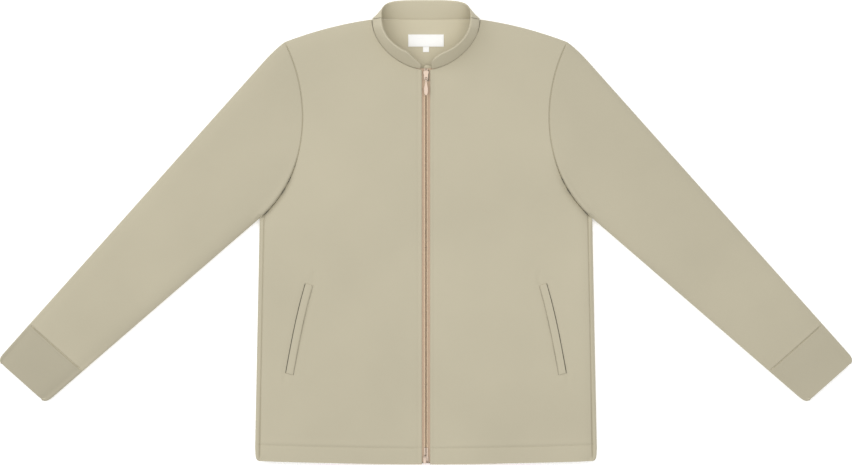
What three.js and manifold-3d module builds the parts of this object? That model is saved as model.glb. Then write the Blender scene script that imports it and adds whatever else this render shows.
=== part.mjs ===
// A plain zip-front jacket with a band collar, laid flat on its back, in millimetres.
// +X is the wearer's left, +Y runs from the hem to the collar and +Z up from the surface it lies on.
// The origin is under the middle of the jacket. Each shell piece is cut from one hollow, flattened form.
import * as THREE from "three";
import { mergeVertices } from "three/addons/utils/BufferGeometryUtils.js";
import Module from "manifold-3d";

// Cloth and clearances
const CLOTH = 1.6; // one sewn layer with its seam allowance
const LINER = 1.2; // a facing or an inner cuff layer
const POCKETING = 1; // one layer of a pocket bag
const LOFT = 18; // height of the body and the sleeves as they lie
const GAP = 0.3; // between neighbouring pieces

// Body
const BACK_LENGTH = 711; // back neck seam to hem
const HEM_HALF = 273.5;
const HEM_DIP = 5; // the hem is this much lower at the middle than at its corners
const UNDERARM_HALF = 266;
const UNDERARM_DROP = 318; // below the neck point
const SHOULDER_HALF = 226;
const SHOULDER_DROP = 36;
const SHOULDER_CROWN = 6; // how far the shoulder line bows up
const SIDE_SEAM_INSET = 7; // the side seam lies this far inside the edge
const ARMHOLE_SCOOP = 44; // how far the armhole's curve is pulled in from the shoulder point
const ARMHOLE_UPPER = 0.3; // heights of the curve's two handles, from shoulder to underarm
const ARMHOLE_LOWER = 0.74;
const ARMHOLE_OVERRUN = 8; // the armhole cut starts this far past the shoulder's edge

// Neck and collar
const NECK_HALF = 87;
const NECK_DEPTH = 81.5; // neck point to the front neck seam
const NECK_FLAT = 0.48; // share of the half neck over which the front seam runs nearly level
const NECK_FLAT_RISE = 1.5;
const NECK_SIDE = 0.99; // where the seam turns up, as shares of the half neck and of the depth
const NECK_SIDE_DROP = 0.515;
const COLLAR_HEIGHT = 32; // seam to top edge, along the cloth
const COLLAR_REACH = 31; // how far the back of the collar lies behind the back neck seam
const COLLAR_LEAN = 16; // how far the collar leans in at the neck point
const COLLAR_FRONT_LEAN = 20.5; // and at the middle of the front
const COLLAR_LAYER = 1.4;
const COLLAR_CORNER = 0.22; // share of the front band that its rounded corner takes
const COLLAR_CORNER_FOOT = 0.3; // share of the height that is left at the corner's foot
const COLLAR_STATIONS = 14; // along each half
const COLLAR_SEAT = 2; // the band's middle lies this far inside the neck seam
const COLLAR_START = 0.075; // share of the neck seam between the middle and the collar's end
const COLLAR_EDGE_FLAT = 0.56; // handles of the front top edge, as shares of its width and of the depth
const COLLAR_EDGE_SIDE = 0.43;
const COLLAR_BACK_SEAM_FLAT = 0.8; // handles of the back seam and of the back top edge, as shares
const COLLAR_BACK_EDGE_FLAT = 0.93;
const COLLAR_BACK_SWELL = 3;

// Sleeves
const SLEEVE_LENGTH = 679; // shoulder point to cuff end
const SLEEVE_ANGLE = THREE.MathUtils.degToRad(48.3); // below the horizontal
const CUFF_WIDTH = 99;
const CUFF_LENGTH = 72;
const CUFF_FACING_SETBACK = 1; // the inner layer stops this far short of the edge

// Front opening
const FOLD_MARGIN = 3; // each front folds open about a line this far outside the neck point
const FRONT_EDGE = 6.5; // the fronts stop this far from the middle, either side of the zip
const FACING_EDGE = 8;
const FACING_WIDTH = 62;
const GUARD_WIDTH = 25;
const GUARD_TIP = 4; // how far the guard's top reaches past the middle

// Zip
const COIL_NEAR = 0.7;
const COIL_WIDTH = 2.2;
const COIL_HEIGHT = 1.8;
const TAPE_NEAR = 0.9;
const TAPE_WIDTH = 19;
const TAPE_THICKNESS = 1;
const ZIP_OVERRUN = 3; // the tapes run this far into the neck seam
const PIN_LENGTH = 13.5;
const STOP_LENGTH = 2.4;
const RETAINER_LENGTH = 11.5;
const RETAINER_HALF = 4.4;
const RETAINER_SETBACK = 1.5; // above the hem's edge
const RETAINER_WALL = 1.1;
const SLIDER_LENGTH = 16;
const SLIDER_TOP_HALF = 4.6;
const SLIDER_FOOT_HALF = 3.4;
const SLIDER_PLATE = 1.2;
const SLIDER_WEB = 0.8;
const BRIDGE_PIN_RADIUS = 0.7;
const BRIDGE_HALF = 3;
const BRIDGE_EAR = 1;
const BRIDGE_SETBACK = 2.6; // from the slider's foot to the pin
const PULL_LENGTH = 27;
const PULL_HALF = 3.3;
const PULL_NECK_HALF = 1.1;
const PULL_TIP = 4.6; // length of its round end
const PULL_THICKNESS = 1.4;
const PULL_EYE_WALL = 0.9;

// Pockets
const WELT_LENGTH = 147;
const WELT_WIDTH = 12;
const WELT_RISE = 1.4;
const POCKET_INSET = 76; // upper end of the opening, in from the side
const POCKET_TOP_DROP = 422; // below the neck point
const POCKET_SLANT = THREE.MathUtils.degToRad(13.2);
const POCKET_SLOT = 7;
const POCKET_DEPTH = 84; // towards the middle
const POCKET_HEIGHT = 8;
const POCKET_MARGIN = 8;

// Neck facing and labels
const NECK_FACING_DEPTH = 105;
const NECK_FACING_HALF = 84;
const NECK_FACING_FULLNESS = 1.3; // how far its curve's handles reach, in depths
const NECK_FACING_THICKNESS = 0.8;
const LABEL_WIDTH = 57;
const LABEL_HEIGHT = 19.5;
const LABEL_DROP = 23.5; // below the back neck seam
const LABEL_THICKNESS = 0.5;
const TAB_WIDTH = 9.6;
const TAB_LENGTH = 8.4;

// Places worked out from the sizes above
const NECK_Y = (BACK_LENGTH - COLLAR_REACH) / 2;
const HEM_Y = NECK_Y - BACK_LENGTH;
const FRONT_NECK_Y = NECK_Y - NECK_DEPTH;
const FOLD_HALF = NECK_HALF + FOLD_MARGIN;
const UNDERARM = new THREE.Vector2(UNDERARM_HALF, NECK_Y - UNDERARM_DROP);
const SHOULDER = new THREE.Vector2(SHOULDER_HALF, NECK_Y - SHOULDER_DROP);
const SLEEVE_WAY = new THREE.Vector2(Math.cos(SLEEVE_ANGLE), -Math.sin(SLEEVE_ANGLE));
const ACROSS_SLEEVE = new THREE.Vector2(-Math.sin(SLEEVE_ANGLE), -Math.cos(SLEEVE_ANGLE));
const CUFF_OUTER = SHOULDER.clone().addScaledVector(SLEEVE_WAY, SLEEVE_LENGTH);
const CUFF_INNER = CUFF_OUTER.clone().addScaledVector(ACROSS_SLEEVE, CUFF_WIDTH);
const MIDDLE = LOFT / 2; // the fronts and the back meet at this height
const FRONT_UNDERSIDE = LOFT - CLOTH;
const TAPE_TOP = FRONT_UNDERSIDE - GAP;
const FACING_TOP = TAPE_TOP - TAPE_THICKNESS - GAP;
const GUARD_TOP = FACING_TOP - LINER - 3 * GAP;
const COIL_BASE = TAPE_TOP + GAP;
const ZIP_TOP = FRONT_NECK_Y + ZIP_OVERRUN;
const STOP_TOP = ZIP_TOP - 2 * GAP;
const SLIDER_TOP = STOP_TOP - STOP_LENGTH - GAP;
const RETAINER_FOOT = HEM_Y + RETAINER_SETBACK;
const RETAINER_TOP = RETAINER_FOOT + RETAINER_LENGTH;
const PIN_TOP = RETAINER_TOP + GAP + PIN_LENGTH;
const POCKET_TOP_Y = NECK_Y - POCKET_TOP_DROP;
const POCKET_TOP_SHARE = (UNDERARM.y - POCKET_TOP_Y) / (UNDERARM.y - HEM_Y);
const POCKET_TOP_X = THREE.MathUtils.lerp(UNDERARM_HALF, HEM_HALF, POCKET_TOP_SHARE) - POCKET_INSET;
const SLIDER_UPPER_Z = COIL_BASE + COIL_HEIGHT + GAP;
const SLIDER_LOWER_Z = TAPE_TOP - TAPE_THICKNESS - 2 * GAP - SLIDER_PLATE;
const PIVOT_Y = SLIDER_TOP - SLIDER_LENGTH + BRIDGE_SETBACK;
const PIVOT_Z = SLIDER_UPPER_Z + SLIDER_PLATE + GAP + BRIDGE_PIN_RADIUS + GAP + PULL_EYE_WALL;
const FAR = 900; // further than any edge
const TRIM = 30; // the form runs this far past each open end and is cut back

const wasm = await Module();
wasm.setup();

// A closed solid from a three.js geometry
function solid(geometry) {
  const bare = geometry.clone();
  bare.deleteAttribute("normal");
  bare.deleteAttribute("uv");
  const merged = mergeVertices(bare, 1e-4);
  const vertProperties = new Float32Array(merged.attributes.position.array);
  const triVerts = new Uint32Array(merged.index.array);
  return new wasm.Manifold(new wasm.Mesh({ numProp: 3, vertProperties, triVerts }));
}

// A three.js geometry from a solid
function geometryOf(body) {
  const mesh = body.getMesh();
  const positions = [];
  for (let v = 0; v < mesh.vertProperties.length; v += mesh.numProp) {
    positions.push(...mesh.vertProperties.slice(v, v + 3));
  }
  const geometry = new THREE.BufferGeometry();
  geometry.setAttribute("position", new THREE.Float32BufferAttribute(positions, 3));
  geometry.setIndex(Array.from(mesh.triVerts));
  geometry.computeVertexNormals();
  return geometry;
}

// An upright prism over an outline, between two heights
function prism(points, from = -FAR, to = FAR) {
  const shape = new THREE.Shape(points);
  const geometry = new THREE.ExtrudeGeometry(shape, { depth: to - from, bevelEnabled: false });
  return solid(geometry.translate(0, 0, from));
}

function block(x0, x1, y0, y1, z0, z1) {
  const geometry = new THREE.BoxGeometry(x1 - x0, y1 - y0, z1 - z0);
  return solid(geometry.translate((x0 + x1) / 2, (y0 + y1) / 2, (z0 + z1) / 2));
}

// The mirror image of a geometry in the plane x = 0, with its faces turned back outwards
function mirrored(geometry) {
  const copy = geometry.index ? geometry.toNonIndexed() : geometry.clone();
  copy.scale(-1, 1, 1);
  const corners = copy.attributes.position;
  for (let v = 0; v < corners.count; v += 3) {
    const second = new THREE.Vector3().fromBufferAttribute(corners, v + 1);
    const third = new THREE.Vector3().fromBufferAttribute(corners, v + 2);
    corners.setXYZ(v + 1, third.x, third.y, third.z);
    corners.setXYZ(v + 2, second.x, second.y, second.z);
  }
  copy.deleteAttribute("normal");
  const merged = mergeVertices(copy, 1e-4);
  merged.computeVertexNormals();
  return merged;
}

// Points of a path moved sideways, to the left of its direction when the distance is positive
function offsetPath(points, distance) {
  return points.map((point, i) => {
    const before = points[Math.max(i - 1, 0)];
    const after = points[Math.min(i + 1, points.length - 1)];
    const along = after.clone().sub(before).normalize();
    return new THREE.Vector2(point.x - along.y * distance, point.y + along.x * distance);
  });
}

const flip = (points) => points.map((p) => new THREE.Vector2(-p.x, p.y)).reverse();
const at = (x, y) => new THREE.Vector2(x, y);

// The wearer's left half of the outline, from the back neck to the hem, run past its open ends
function halfOutline() {
  const path = new THREE.Path();
  path.moveTo(NECK_HALF, NECK_Y + TRIM);
  path.lineTo(NECK_HALF, NECK_Y);
  const crownX = (NECK_HALF + SHOULDER.x) / 2;
  path.quadraticCurveTo(crownX, (NECK_Y + SHOULDER.y) / 2 + SHOULDER_CROWN, SHOULDER.x, SHOULDER.y);
  const capEnd = SHOULDER.clone().addScaledVector(SLEEVE_WAY, CUFF_LENGTH);
  path.quadraticCurveTo(SHOULDER.x + CUFF_LENGTH / 4, SHOULDER.y - CUFF_LENGTH / 8, capEnd.x, capEnd.y);
  const pastOuter = CUFF_OUTER.clone().addScaledVector(SLEEVE_WAY, TRIM);
  const pastInner = CUFF_INNER.clone().addScaledVector(SLEEVE_WAY, TRIM);
  path.lineTo(pastOuter.x, pastOuter.y);
  path.lineTo(pastInner.x, pastInner.y);
  path.lineTo(CUFF_INNER.x, CUFF_INNER.y);
  path.lineTo(UNDERARM.x, UNDERARM.y);
  path.lineTo(HEM_HALF, HEM_Y);
  path.lineTo(HEM_HALF, HEM_Y - TRIM);
  const points = path.getPoints(8);
  return points.filter((p, i) => i === 0 || p.distanceTo(points[i - 1]) > GAP);
}

// The flattened form with round edges, set in from the outline on every side
function pillow(inset) {
  const radius = MIDDLE - GAP;
  const outline = new THREE.Shape([...halfOutline().reverse(), ...flip(halfOutline()).reverse()]);
  const geometry = new THREE.ExtrudeGeometry(outline, {
    depth: LOFT - 2 * radius,
    bevelThickness: radius - inset,
    bevelSize: radius - inset,
    bevelOffset: -radius,
    bevelSegments: 3,
  });
  return solid(geometry.translate(0, 0, radius));
}

function cuffEndPrism(setback) {
  const start = CUFF_OUTER.clone().addScaledVector(SLEEVE_WAY, -setback);
  const outer = start.clone().addScaledVector(ACROSS_SLEEVE, -CUFF_WIDTH);
  const inner = start.clone().addScaledVector(ACROSS_SLEEVE, 2 * CUFF_WIDTH);
  const farInner = inner.clone().addScaledVector(SLEEVE_WAY, 4 * CUFF_WIDTH);
  const farOuter = outer.clone().addScaledVector(SLEEVE_WAY, 4 * CUFF_WIDTH);
  return [outer, inner, farInner, farOuter];
}

// Everything below the hem's shallow curve
function belowHem() {
  const hem = new THREE.QuadraticBezierCurve(
    at(-HEM_HALF, HEM_Y + HEM_DIP),
    at(0, HEM_Y - HEM_DIP),
    at(HEM_HALF, HEM_Y + HEM_DIP),
  ).getPoints(12);
  return prism([at(-FAR, HEM_Y + HEM_DIP), ...hem, at(FAR, HEM_Y + HEM_DIP), at(FAR, -FAR), at(-FAR, -FAR)]);
}

// A hollow layer of the form, open at the hem, the cuffs and the back neck
function hollow(outerInset, thickness) {
  return pillow(outerInset)
    .subtract(pillow(outerInset + thickness))
    .subtract(belowHem())
    .subtract(prism(cuffEndPrism(0)))
    .subtract(prism(flip(cuffEndPrism(0))))
    .subtract(block(-FAR, FAR, NECK_Y, FAR, -FAR, FAR));
}

// The armhole seam on the wearer's left, from past the shoulder edge to the underarm
function armhole(distance) {
  const curve = new THREE.CubicBezierCurve(
    SHOULDER,
    at(SHOULDER.x - ARMHOLE_SCOOP, THREE.MathUtils.lerp(SHOULDER.y, UNDERARM.y, ARMHOLE_UPPER)),
    at(SHOULDER.x - ARMHOLE_SCOOP, THREE.MathUtils.lerp(SHOULDER.y, UNDERARM.y, ARMHOLE_LOWER)),
    UNDERARM,
  );
  const points = offsetPath(curve.getPoints(16), distance);
  const start = points[0].clone().add(at(ARMHOLE_OVERRUN, 3 * ARMHOLE_OVERRUN));
  return [start, ...points];
}

// Halfway between the side of the body and the underside of the sleeve
function crotchEnd() {
  const side = at(HEM_HALF, HEM_Y).sub(UNDERARM).normalize();
  const sleeve = CUFF_INNER.clone().sub(UNDERARM).normalize();
  return UNDERARM.clone().addScaledVector(side.add(sleeve).normalize(), FAR);
}

// Front neck seam on the wearer's left, from the middle to the neck point
function neckSeam(inset) {
  return new THREE.CubicBezierCurve(
    at(0, FRONT_NECK_Y + inset),
    at(NECK_FLAT * (NECK_HALF - inset), FRONT_NECK_Y + inset + NECK_FLAT_RISE),
    at(NECK_SIDE * (NECK_HALF - inset), NECK_Y - NECK_SIDE_DROP * (NECK_DEPTH - inset)),
    at(NECK_HALF - inset, NECK_Y),
  );
}

function neckHole(inset) {
  const seam = neckSeam(inset).getPoints(14);
  return prism([...seam, at(NECK_HALF - inset, FAR), at(inset - NECK_HALF, FAR), ...flip(seam).slice(0, -1)]);
}

const bodyRegion = () => {
  const edge = armhole(-GAP / 2);
  return [at(0, -FAR), crotchEnd(), UNDERARM, ...edge.reverse(), at(SHOULDER.x, FAR), at(0, FAR)];
};

// The part of the body that a front covers, seen from above
function frontRegion(grow) {
  const seam = armhole(-GAP / 2 + grow);
  const top = UNDERARM.y + SIDE_SEAM_INSET;
  const upper = seam.filter((p) => p.y > top + SIDE_SEAM_INSET);
  return [
    at(0, -FAR),
    at(HEM_HALF - SIDE_SEAM_INSET + grow, -FAR),
    at(HEM_HALF - SIDE_SEAM_INSET + grow, HEM_Y),
    at(UNDERARM.x - SIDE_SEAM_INSET + grow, top),
    ...upper.reverse(),
    at(SHOULDER.x, FAR),
    at(0, FAR),
  ];
}

const shell = hollow(0, CLOTH);

function backPanel() {
  const left = prism(bodyRegion());
  const right = prism(flip(bodyRegion()));
  const fronts = prism(frontRegion(GAP / 2), MIDDLE - GAP / 2).add(
    prism(flip(frontRegion(GAP / 2)), MIDDLE - GAP / 2),
  );
  const centre = block(-GAP, GAP, -FAR, FAR, MIDDLE - GAP / 2, FAR);
  return shell.intersect(left.add(right)).subtract(fronts).subtract(centre);
}

const frontShell = () =>
  shell.intersect(prism(frontRegion(-GAP / 2), MIDDLE + GAP / 2)).subtract(neckHole(0));

// The four corners of the pocket opening, from the welt's free edge outwards
function pocketBand(from, to, endMargin) {
  const down = at(Math.sin(POCKET_SLANT), -Math.cos(POCKET_SLANT));
  const outwards = at(Math.cos(POCKET_SLANT), Math.sin(POCKET_SLANT));
  const top = at(POCKET_TOP_X, POCKET_TOP_Y);
  const corner = (side, along) => top.clone().addScaledVector(outwards, side).addScaledVector(down, along);
  return [
    corner(from, -endMargin),
    corner(from, WELT_LENGTH + endMargin),
    corner(to, WELT_LENGTH + endMargin),
    corner(to, -endMargin),
  ];
}

const frontSide = () =>
  frontShell()
    .intersect(block(FOLD_HALF + GAP / 2, FAR, -FAR, FAR, -FAR, FAR))
    .subtract(prism(pocketBand(0, POCKET_SLOT, 0)));

const movingFront = () =>
  frontShell().intersect(block(FRONT_EDGE, FOLD_HALF - GAP / 2, -FAR, FAR, -FAR, FAR));

const pocketWelt = () => prism(pocketBand(-WELT_WIDTH, 0, 0), LOFT + GAP, LOFT + GAP + WELT_RISE);

// A flat bag under the front, open through the slot beside the welt
function pocketBag() {
  const top = FRONT_UNDERSIDE - GAP;
  const outer = pocketBand(-POCKET_DEPTH, POCKET_SLOT + POCKET_MARGIN, POCKET_MARGIN);
  const inner = pocketBand(
    -POCKET_DEPTH + POCKETING,
    POCKET_SLOT + POCKET_MARGIN - POCKETING,
    POCKET_MARGIN - POCKETING,
  );
  return prism(outer, top - POCKET_HEIGHT, top)
    .subtract(prism(inner, top - POCKET_HEIGHT + POCKETING, top - POCKETING))
    .subtract(prism(pocketBand(0, POCKET_SLOT, 0), top - 2 * POCKETING, top + 1));
}

// The head stays with the body; the rest of the sleeve folds about the line at the underarm
const sleeveHead = () => {
  const seam = armhole(GAP / 2);
  const fold = UNDERARM.x - GAP / 2;
  const edge = seam.map((p) => at(Math.min(p.x, fold), p.y)).reverse();
  return shell.intersect(prism([...edge, at(SHOULDER.x, FAR), at(fold, FAR)]));
};

const sleeveRegion = () => [
  at(UNDERARM.x + GAP / 2, FAR),
  at(UNDERARM.x + GAP / 2, UNDERARM.y + GAP),
  crotchEnd().add(at(GAP, GAP)),
  at(FAR, -FAR),
  at(FAR, FAR),
];

const sleeve = () =>
  shell.intersect(prism(sleeveRegion())).subtract(prism(cuffEndPrism(CUFF_LENGTH + GAP / 2)));

const cuff = () => shell.intersect(prism(cuffEndPrism(CUFF_LENGTH - GAP / 2)));

const cuffFacing = () =>
  hollow(CLOTH + GAP, LINER)
    .intersect(prism(cuffEndPrism(CUFF_LENGTH - GAP / 2)))
    .subtract(prism(cuffEndPrism(CUFF_FACING_SETBACK)));

// Where the collar band starts and ends at each station: its seam, its top edge and its direction
function collarStation(seam, top, along, height) {
  const flat = Math.min(top.distanceTo(seam), COLLAR_HEIGHT);
  const rise = Math.sqrt(COLLAR_HEIGHT ** 2 - flat ** 2);
  const foot = new THREE.Vector3(seam.x, seam.y, height.foot);
  const head = new THREE.Vector3(top.x, top.y, height.foot + rise);
  return { foot, head: foot.clone().lerp(head, height.share), along: new THREE.Vector3(along.x, along.y, 0) };
}

function frontCollarStations() {
  const seam = neckSeam(COLLAR_SEAT);
  const lean = NECK_HALF - COLLAR_LEAN;
  const topY = FRONT_NECK_Y + COLLAR_FRONT_LEAN;
  const top = new THREE.CubicBezierCurve(
    at(FRONT_EDGE, topY),
    at(COLLAR_EDGE_FLAT * lean, topY + COLLAR_LEAN / 3),
    at(lean, NECK_Y - COLLAR_EDGE_SIDE * NECK_DEPTH),
    at(lean, NECK_Y),
  );
  const stations = [];
  for (let i = 0; i <= COLLAR_STATIONS; i++) {
    const t = i / COLLAR_STATIONS;
    const along = THREE.MathUtils.lerp(COLLAR_START, 1, t);
    const point = seam.getPoint(along);
    const drop = THREE.MathUtils.smoothstep(point.y, NECK_Y - LOFT, NECK_Y);
    const corner = Math.min(t / COLLAR_CORNER, 1);
    const share = COLLAR_CORNER_FOOT + (1 - COLLAR_CORNER_FOOT) * Math.sqrt(1 - (1 - corner) ** 2);
    const foot = THREE.MathUtils.lerp(LOFT, MIDDLE + CLOTH, drop);
    const clear = at(0, -GAP * t);
    const direction = seam.getTangent(along);
    stations.push(collarStation(point.add(clear), top.getPoint(t).add(clear), direction, { foot, share }));
  }
  return stations;
}

function backCollarStations() {
  const neck = NECK_HALF - COLLAR_SEAT;
  const lean = NECK_HALF - COLLAR_LEAN;
  const behind = NECK_Y + GAP + COLLAR_SEAT / 2;
  const reach = NECK_Y + COLLAR_REACH - COLLAR_LAYER / 2;
  const seam = new THREE.CubicBezierCurve(
    at(neck, NECK_Y + GAP),
    at(neck, behind + COLLAR_SEAT),
    at(COLLAR_BACK_SEAM_FLAT * neck, behind),
    at(0, behind),
  );
  const top = new THREE.CubicBezierCurve(
    at(lean, NECK_Y + GAP),
    at(lean, reach + COLLAR_BACK_SWELL),
    at(COLLAR_BACK_EDGE_FLAT * lean, reach),
    at(0, reach),
  );
  const half = [];
  for (let i = 0; i <= COLLAR_STATIONS; i++) {
    const t = i / COLLAR_STATIONS;
    const rise = THREE.MathUtils.smoothstep(1 - t, 0.5, 1);
    const foot = THREE.MathUtils.lerp(COLLAR_LAYER + 2 * GAP, MIDDLE + CLOTH, rise);
    half.push(collarStation(seam.getPoint(t), top.getPoint(t), seam.getTangent(t), { foot, share: 1 }));
  }
  const across = (v) => new THREE.Vector3(-v.x, v.y, v.z);
  const onwards = (v) => new THREE.Vector3(v.x, -v.y, v.z);
  const other = half.slice(0, -1).map((s) => ({
    foot: across(s.foot),
    head: across(s.head),
    along: onwards(s.along),
  }));
  return [...half, ...other.reverse()];
}

// One layer of the collar: a strip with a thickness, between two distances from the band's middle
function collarLayer(stations, near, far) {
  const rings = stations.map(({ foot, head, along }) => {
    const up = head.clone().sub(foot);
    const outwards = along.clone().cross(up).normalize();
    return [
      foot.clone().addScaledVector(outwards, near),
      foot.clone().addScaledVector(outwards, far),
      head.clone().addScaledVector(outwards, far),
      head.clone().addScaledVector(outwards, near),
    ];
  });
  const index = [];
  const corners = 4;
  for (let i = 0; i + 1 < rings.length; i++) {
    for (let k = 0; k < corners; k++) {
      const a = i * corners + k;
      const b = i * corners + ((k + 1) % corners);
      // both faces of a layer are split from foot to head, so two layers never cross
      if (k === corners - 1) index.push(a, a + corners, b, b, a + corners, b + corners);
      else index.push(a, b + corners, b, a, a + corners, b + corners);
    }
  }
  const last = (rings.length - 1) * corners;
  index.push(0, 1, 2, 0, 2, 3, last, last + 2, last + 1, last, last + 3, last + 2);
  const geometry = new THREE.BufferGeometry();
  const positions = rings.flat().flatMap((p) => [p.x, p.y, p.z]);
  geometry.setAttribute("position", new THREE.Float32BufferAttribute(positions, 3));
  geometry.setIndex(index);
  geometry.computeVertexNormals();
  return geometry;
}

const outerBand = (stations) => collarLayer(stations, GAP / 2, GAP / 2 + COLLAR_LAYER);
const innerBand = (stations) => collarLayer(stations, -GAP / 2 - COLLAR_LAYER, -GAP / 2);

function frontFacing() {
  const outer = FACING_EDGE + FACING_WIDTH;
  return block(FACING_EDGE, outer, HEM_Y, NECK_Y, FACING_TOP - LINER, FACING_TOP)
    .subtract(belowHem())
    .subtract(neckHole(-GAP));
}

function zipTape(notched) {
  const foot = RETAINER_FOOT + 2 * RETAINER_WALL;
  const neck = neckHole(-GAP).intersect(block(FRONT_EDGE, FAR, -FAR, FAR, 0, FAR));
  const tape = block(TAPE_NEAR, TAPE_NEAR + TAPE_WIDTH, foot, ZIP_TOP, TAPE_TOP - TAPE_THICKNESS, TAPE_TOP)
    .subtract(neck);
  if (!notched) return tape;
  const clear = SLIDER_TOP_HALF + GAP;
  return tape.subtract(block(0, clear, SLIDER_TOP - SLIDER_LENGTH - 2 * GAP, SLIDER_TOP + GAP, 0, LOFT));
}

// A bar on top of the tape's edge, which the coils, the stops and the pins all are
const tapeBar = (foot, top) =>
  block(COIL_NEAR, COIL_NEAR + COIL_WIDTH, foot, top, COIL_BASE, COIL_BASE + COIL_HEIGHT);

const coil = (top) => tapeBar(PIN_TOP + GAP, top);
const topStop = () => tapeBar(STOP_TOP - STOP_LENGTH, STOP_TOP);
const pin = (foot) => tapeBar(foot, PIN_TOP);

// A trough under both tapes, closed over the fixed side and open upwards where the loose pin lies
function retainerBox() {
  const floor = SLIDER_LOWER_Z;
  const top = COIL_BASE + COIL_HEIGHT + GAP;
  const inner = COIL_NEAR - GAP;
  const half = RETAINER_HALF;
  const bottom = block(-half, half, RETAINER_FOOT, RETAINER_TOP, floor, floor + RETAINER_WALL);
  const end = block(-half, half, RETAINER_FOOT, RETAINER_FOOT + RETAINER_WALL, floor, top);
  const middle = block(-inner, inner, RETAINER_FOOT, RETAINER_TOP, floor, top);
  const lid = block(-half, inner, RETAINER_FOOT, RETAINER_TOP, COIL_BASE, top);
  return bottom.add(end).add(middle).add(lid);
}

// A strip behind the zip whose rounded top shows between the collar's ends
function zipGuard() {
  const inner = TAPE_NEAR + GAP;
  const strip = block(inner, inner + GUARD_WIDTH, HEM_Y + HEM_DIP, ZIP_TOP, GUARD_TOP - LINER, GUARD_TOP);
  const radius = GUARD_TIP + inner;
  const tip = new THREE.CylinderGeometry(radius, radius, LINER, 20).rotateX(Math.PI / 2);
  return strip.add(solid(tip.translate(inner, ZIP_TOP + GAP, GUARD_TOP - LINER / 2)));
}

function sliderOutline() {
  const foot = SLIDER_TOP - SLIDER_LENGTH;
  const shoulder = SLIDER_TOP - SLIDER_LENGTH / 4;
  const shape = new THREE.Shape();
  shape.moveTo(-SLIDER_FOOT_HALF, foot);
  shape.lineTo(SLIDER_FOOT_HALF, foot);
  shape.quadraticCurveTo(SLIDER_FOOT_HALF, (foot + shoulder) / 2, SLIDER_TOP_HALF, shoulder);
  shape.quadraticCurveTo(SLIDER_TOP_HALF, SLIDER_TOP, 0, SLIDER_TOP);
  shape.quadraticCurveTo(-SLIDER_TOP_HALF, SLIDER_TOP, -SLIDER_TOP_HALF, shoulder);
  shape.quadraticCurveTo(-SLIDER_FOOT_HALF, (foot + shoulder) / 2, -SLIDER_FOOT_HALF, foot);
  return shape.getPoints(6).slice(0, -1);
}

function sliderBody() {
  const upper = prism(sliderOutline(), SLIDER_UPPER_Z, SLIDER_UPPER_Z + SLIDER_PLATE);
  const lower = prism(sliderOutline(), SLIDER_LOWER_Z, SLIDER_LOWER_Z + SLIDER_PLATE);
  const web = block(-SLIDER_WEB / 2, SLIDER_WEB / 2, SLIDER_TOP - SLIDER_LENGTH / 2, SLIDER_TOP - 1,
    SLIDER_LOWER_Z, SLIDER_UPPER_Z + SLIDER_PLATE);
  return upper.add(lower).add(web);
}

function barAcross(radius, half, sides) {
  const geometry = new THREE.CylinderGeometry(radius, radius, 2 * half, sides).rotateZ(Math.PI / 2);
  return solid(geometry.translate(0, PIVOT_Y, PIVOT_Z));
}

// Two ears and the pin between them that the pull tab swings on
function sliderBridge() {
  const inner = BRIDGE_HALF - BRIDGE_EAR;
  const foot = SLIDER_UPPER_Z + SLIDER_PLATE + GAP;
  const ear = (from, to) =>
    block(from, to, PIVOT_Y - BRIDGE_EAR, PIVOT_Y + BRIDGE_EAR, foot, PIVOT_Z + BRIDGE_EAR);
  return ear(inner, BRIDGE_HALF)
    .add(ear(-BRIDGE_HALF, -inner))
    .add(barAcross(BRIDGE_PIN_RADIUS, inner + BRIDGE_EAR / 2, 16));
}

// A teardrop plate whose neck ends in an eye around the bridge's pin
function pullTab() {
  const eyeHalf = BRIDGE_HALF - BRIDGE_EAR - GAP;
  const hole = BRIDGE_PIN_RADIUS + GAP;
  const tip = PIVOT_Y - PULL_LENGTH;
  const shape = new THREE.Shape();
  shape.moveTo(-PULL_NECK_HALF, PIVOT_Y - hole);
  shape.bezierCurveTo(-PULL_NECK_HALF, PIVOT_Y - PULL_LENGTH / 3, -PULL_HALF, PIVOT_Y - PULL_LENGTH / 2,
    -PULL_HALF, tip + PULL_TIP);
  shape.quadraticCurveTo(-PULL_HALF, tip, 0, tip);
  shape.quadraticCurveTo(PULL_HALF, tip, PULL_HALF, tip + PULL_TIP);
  shape.bezierCurveTo(PULL_HALF, PIVOT_Y - PULL_LENGTH / 2, PULL_NECK_HALF, PIVOT_Y - PULL_LENGTH / 3,
    PULL_NECK_HALF, PIVOT_Y - hole);
  const outline = shape.getPoints(8);
  const plate = prism(outline, PIVOT_Z - PULL_THICKNESS / 2, PIVOT_Z + PULL_THICKNESS / 2);
  return plate.add(barAcross(hole + PULL_EYE_WALL, eyeHalf, 20)).subtract(barAcross(hole, BRIDGE_HALF, 20));
}

// Half a moon of cloth inside the back neck
function neckFacing() {
  const bottom = CLOTH + GAP;
  const half = NECK_FACING_HALF;
  const top = NECK_Y - GAP;
  const shape = new THREE.Shape();
  shape.moveTo(-half, top);
  const handle = top - NECK_FACING_DEPTH * NECK_FACING_FULLNESS;
  shape.bezierCurveTo(-half, handle, half, handle, half, top);
  return prism(shape.getPoints(16), bottom, bottom + NECK_FACING_THICKNESS).intersect(pillow(CLOTH + GAP));
}

const LABEL_Z = CLOTH + GAP + NECK_FACING_THICKNESS + GAP;
const LABEL_TOP = NECK_Y - LABEL_DROP;
const TAB_TOP = LABEL_TOP - LABEL_HEIGHT - GAP;

const patch = (width, height, top) =>
  block(-width / 2, width / 2, top - height, top, LABEL_Z, LABEL_Z + LABEL_THICKNESS);

const neckLabel = () => patch(LABEL_WIDTH, LABEL_HEIGHT, LABEL_TOP);
const sizeTab = () => patch(TAB_WIDTH, TAB_LENGTH, TAB_TOP);

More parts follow.
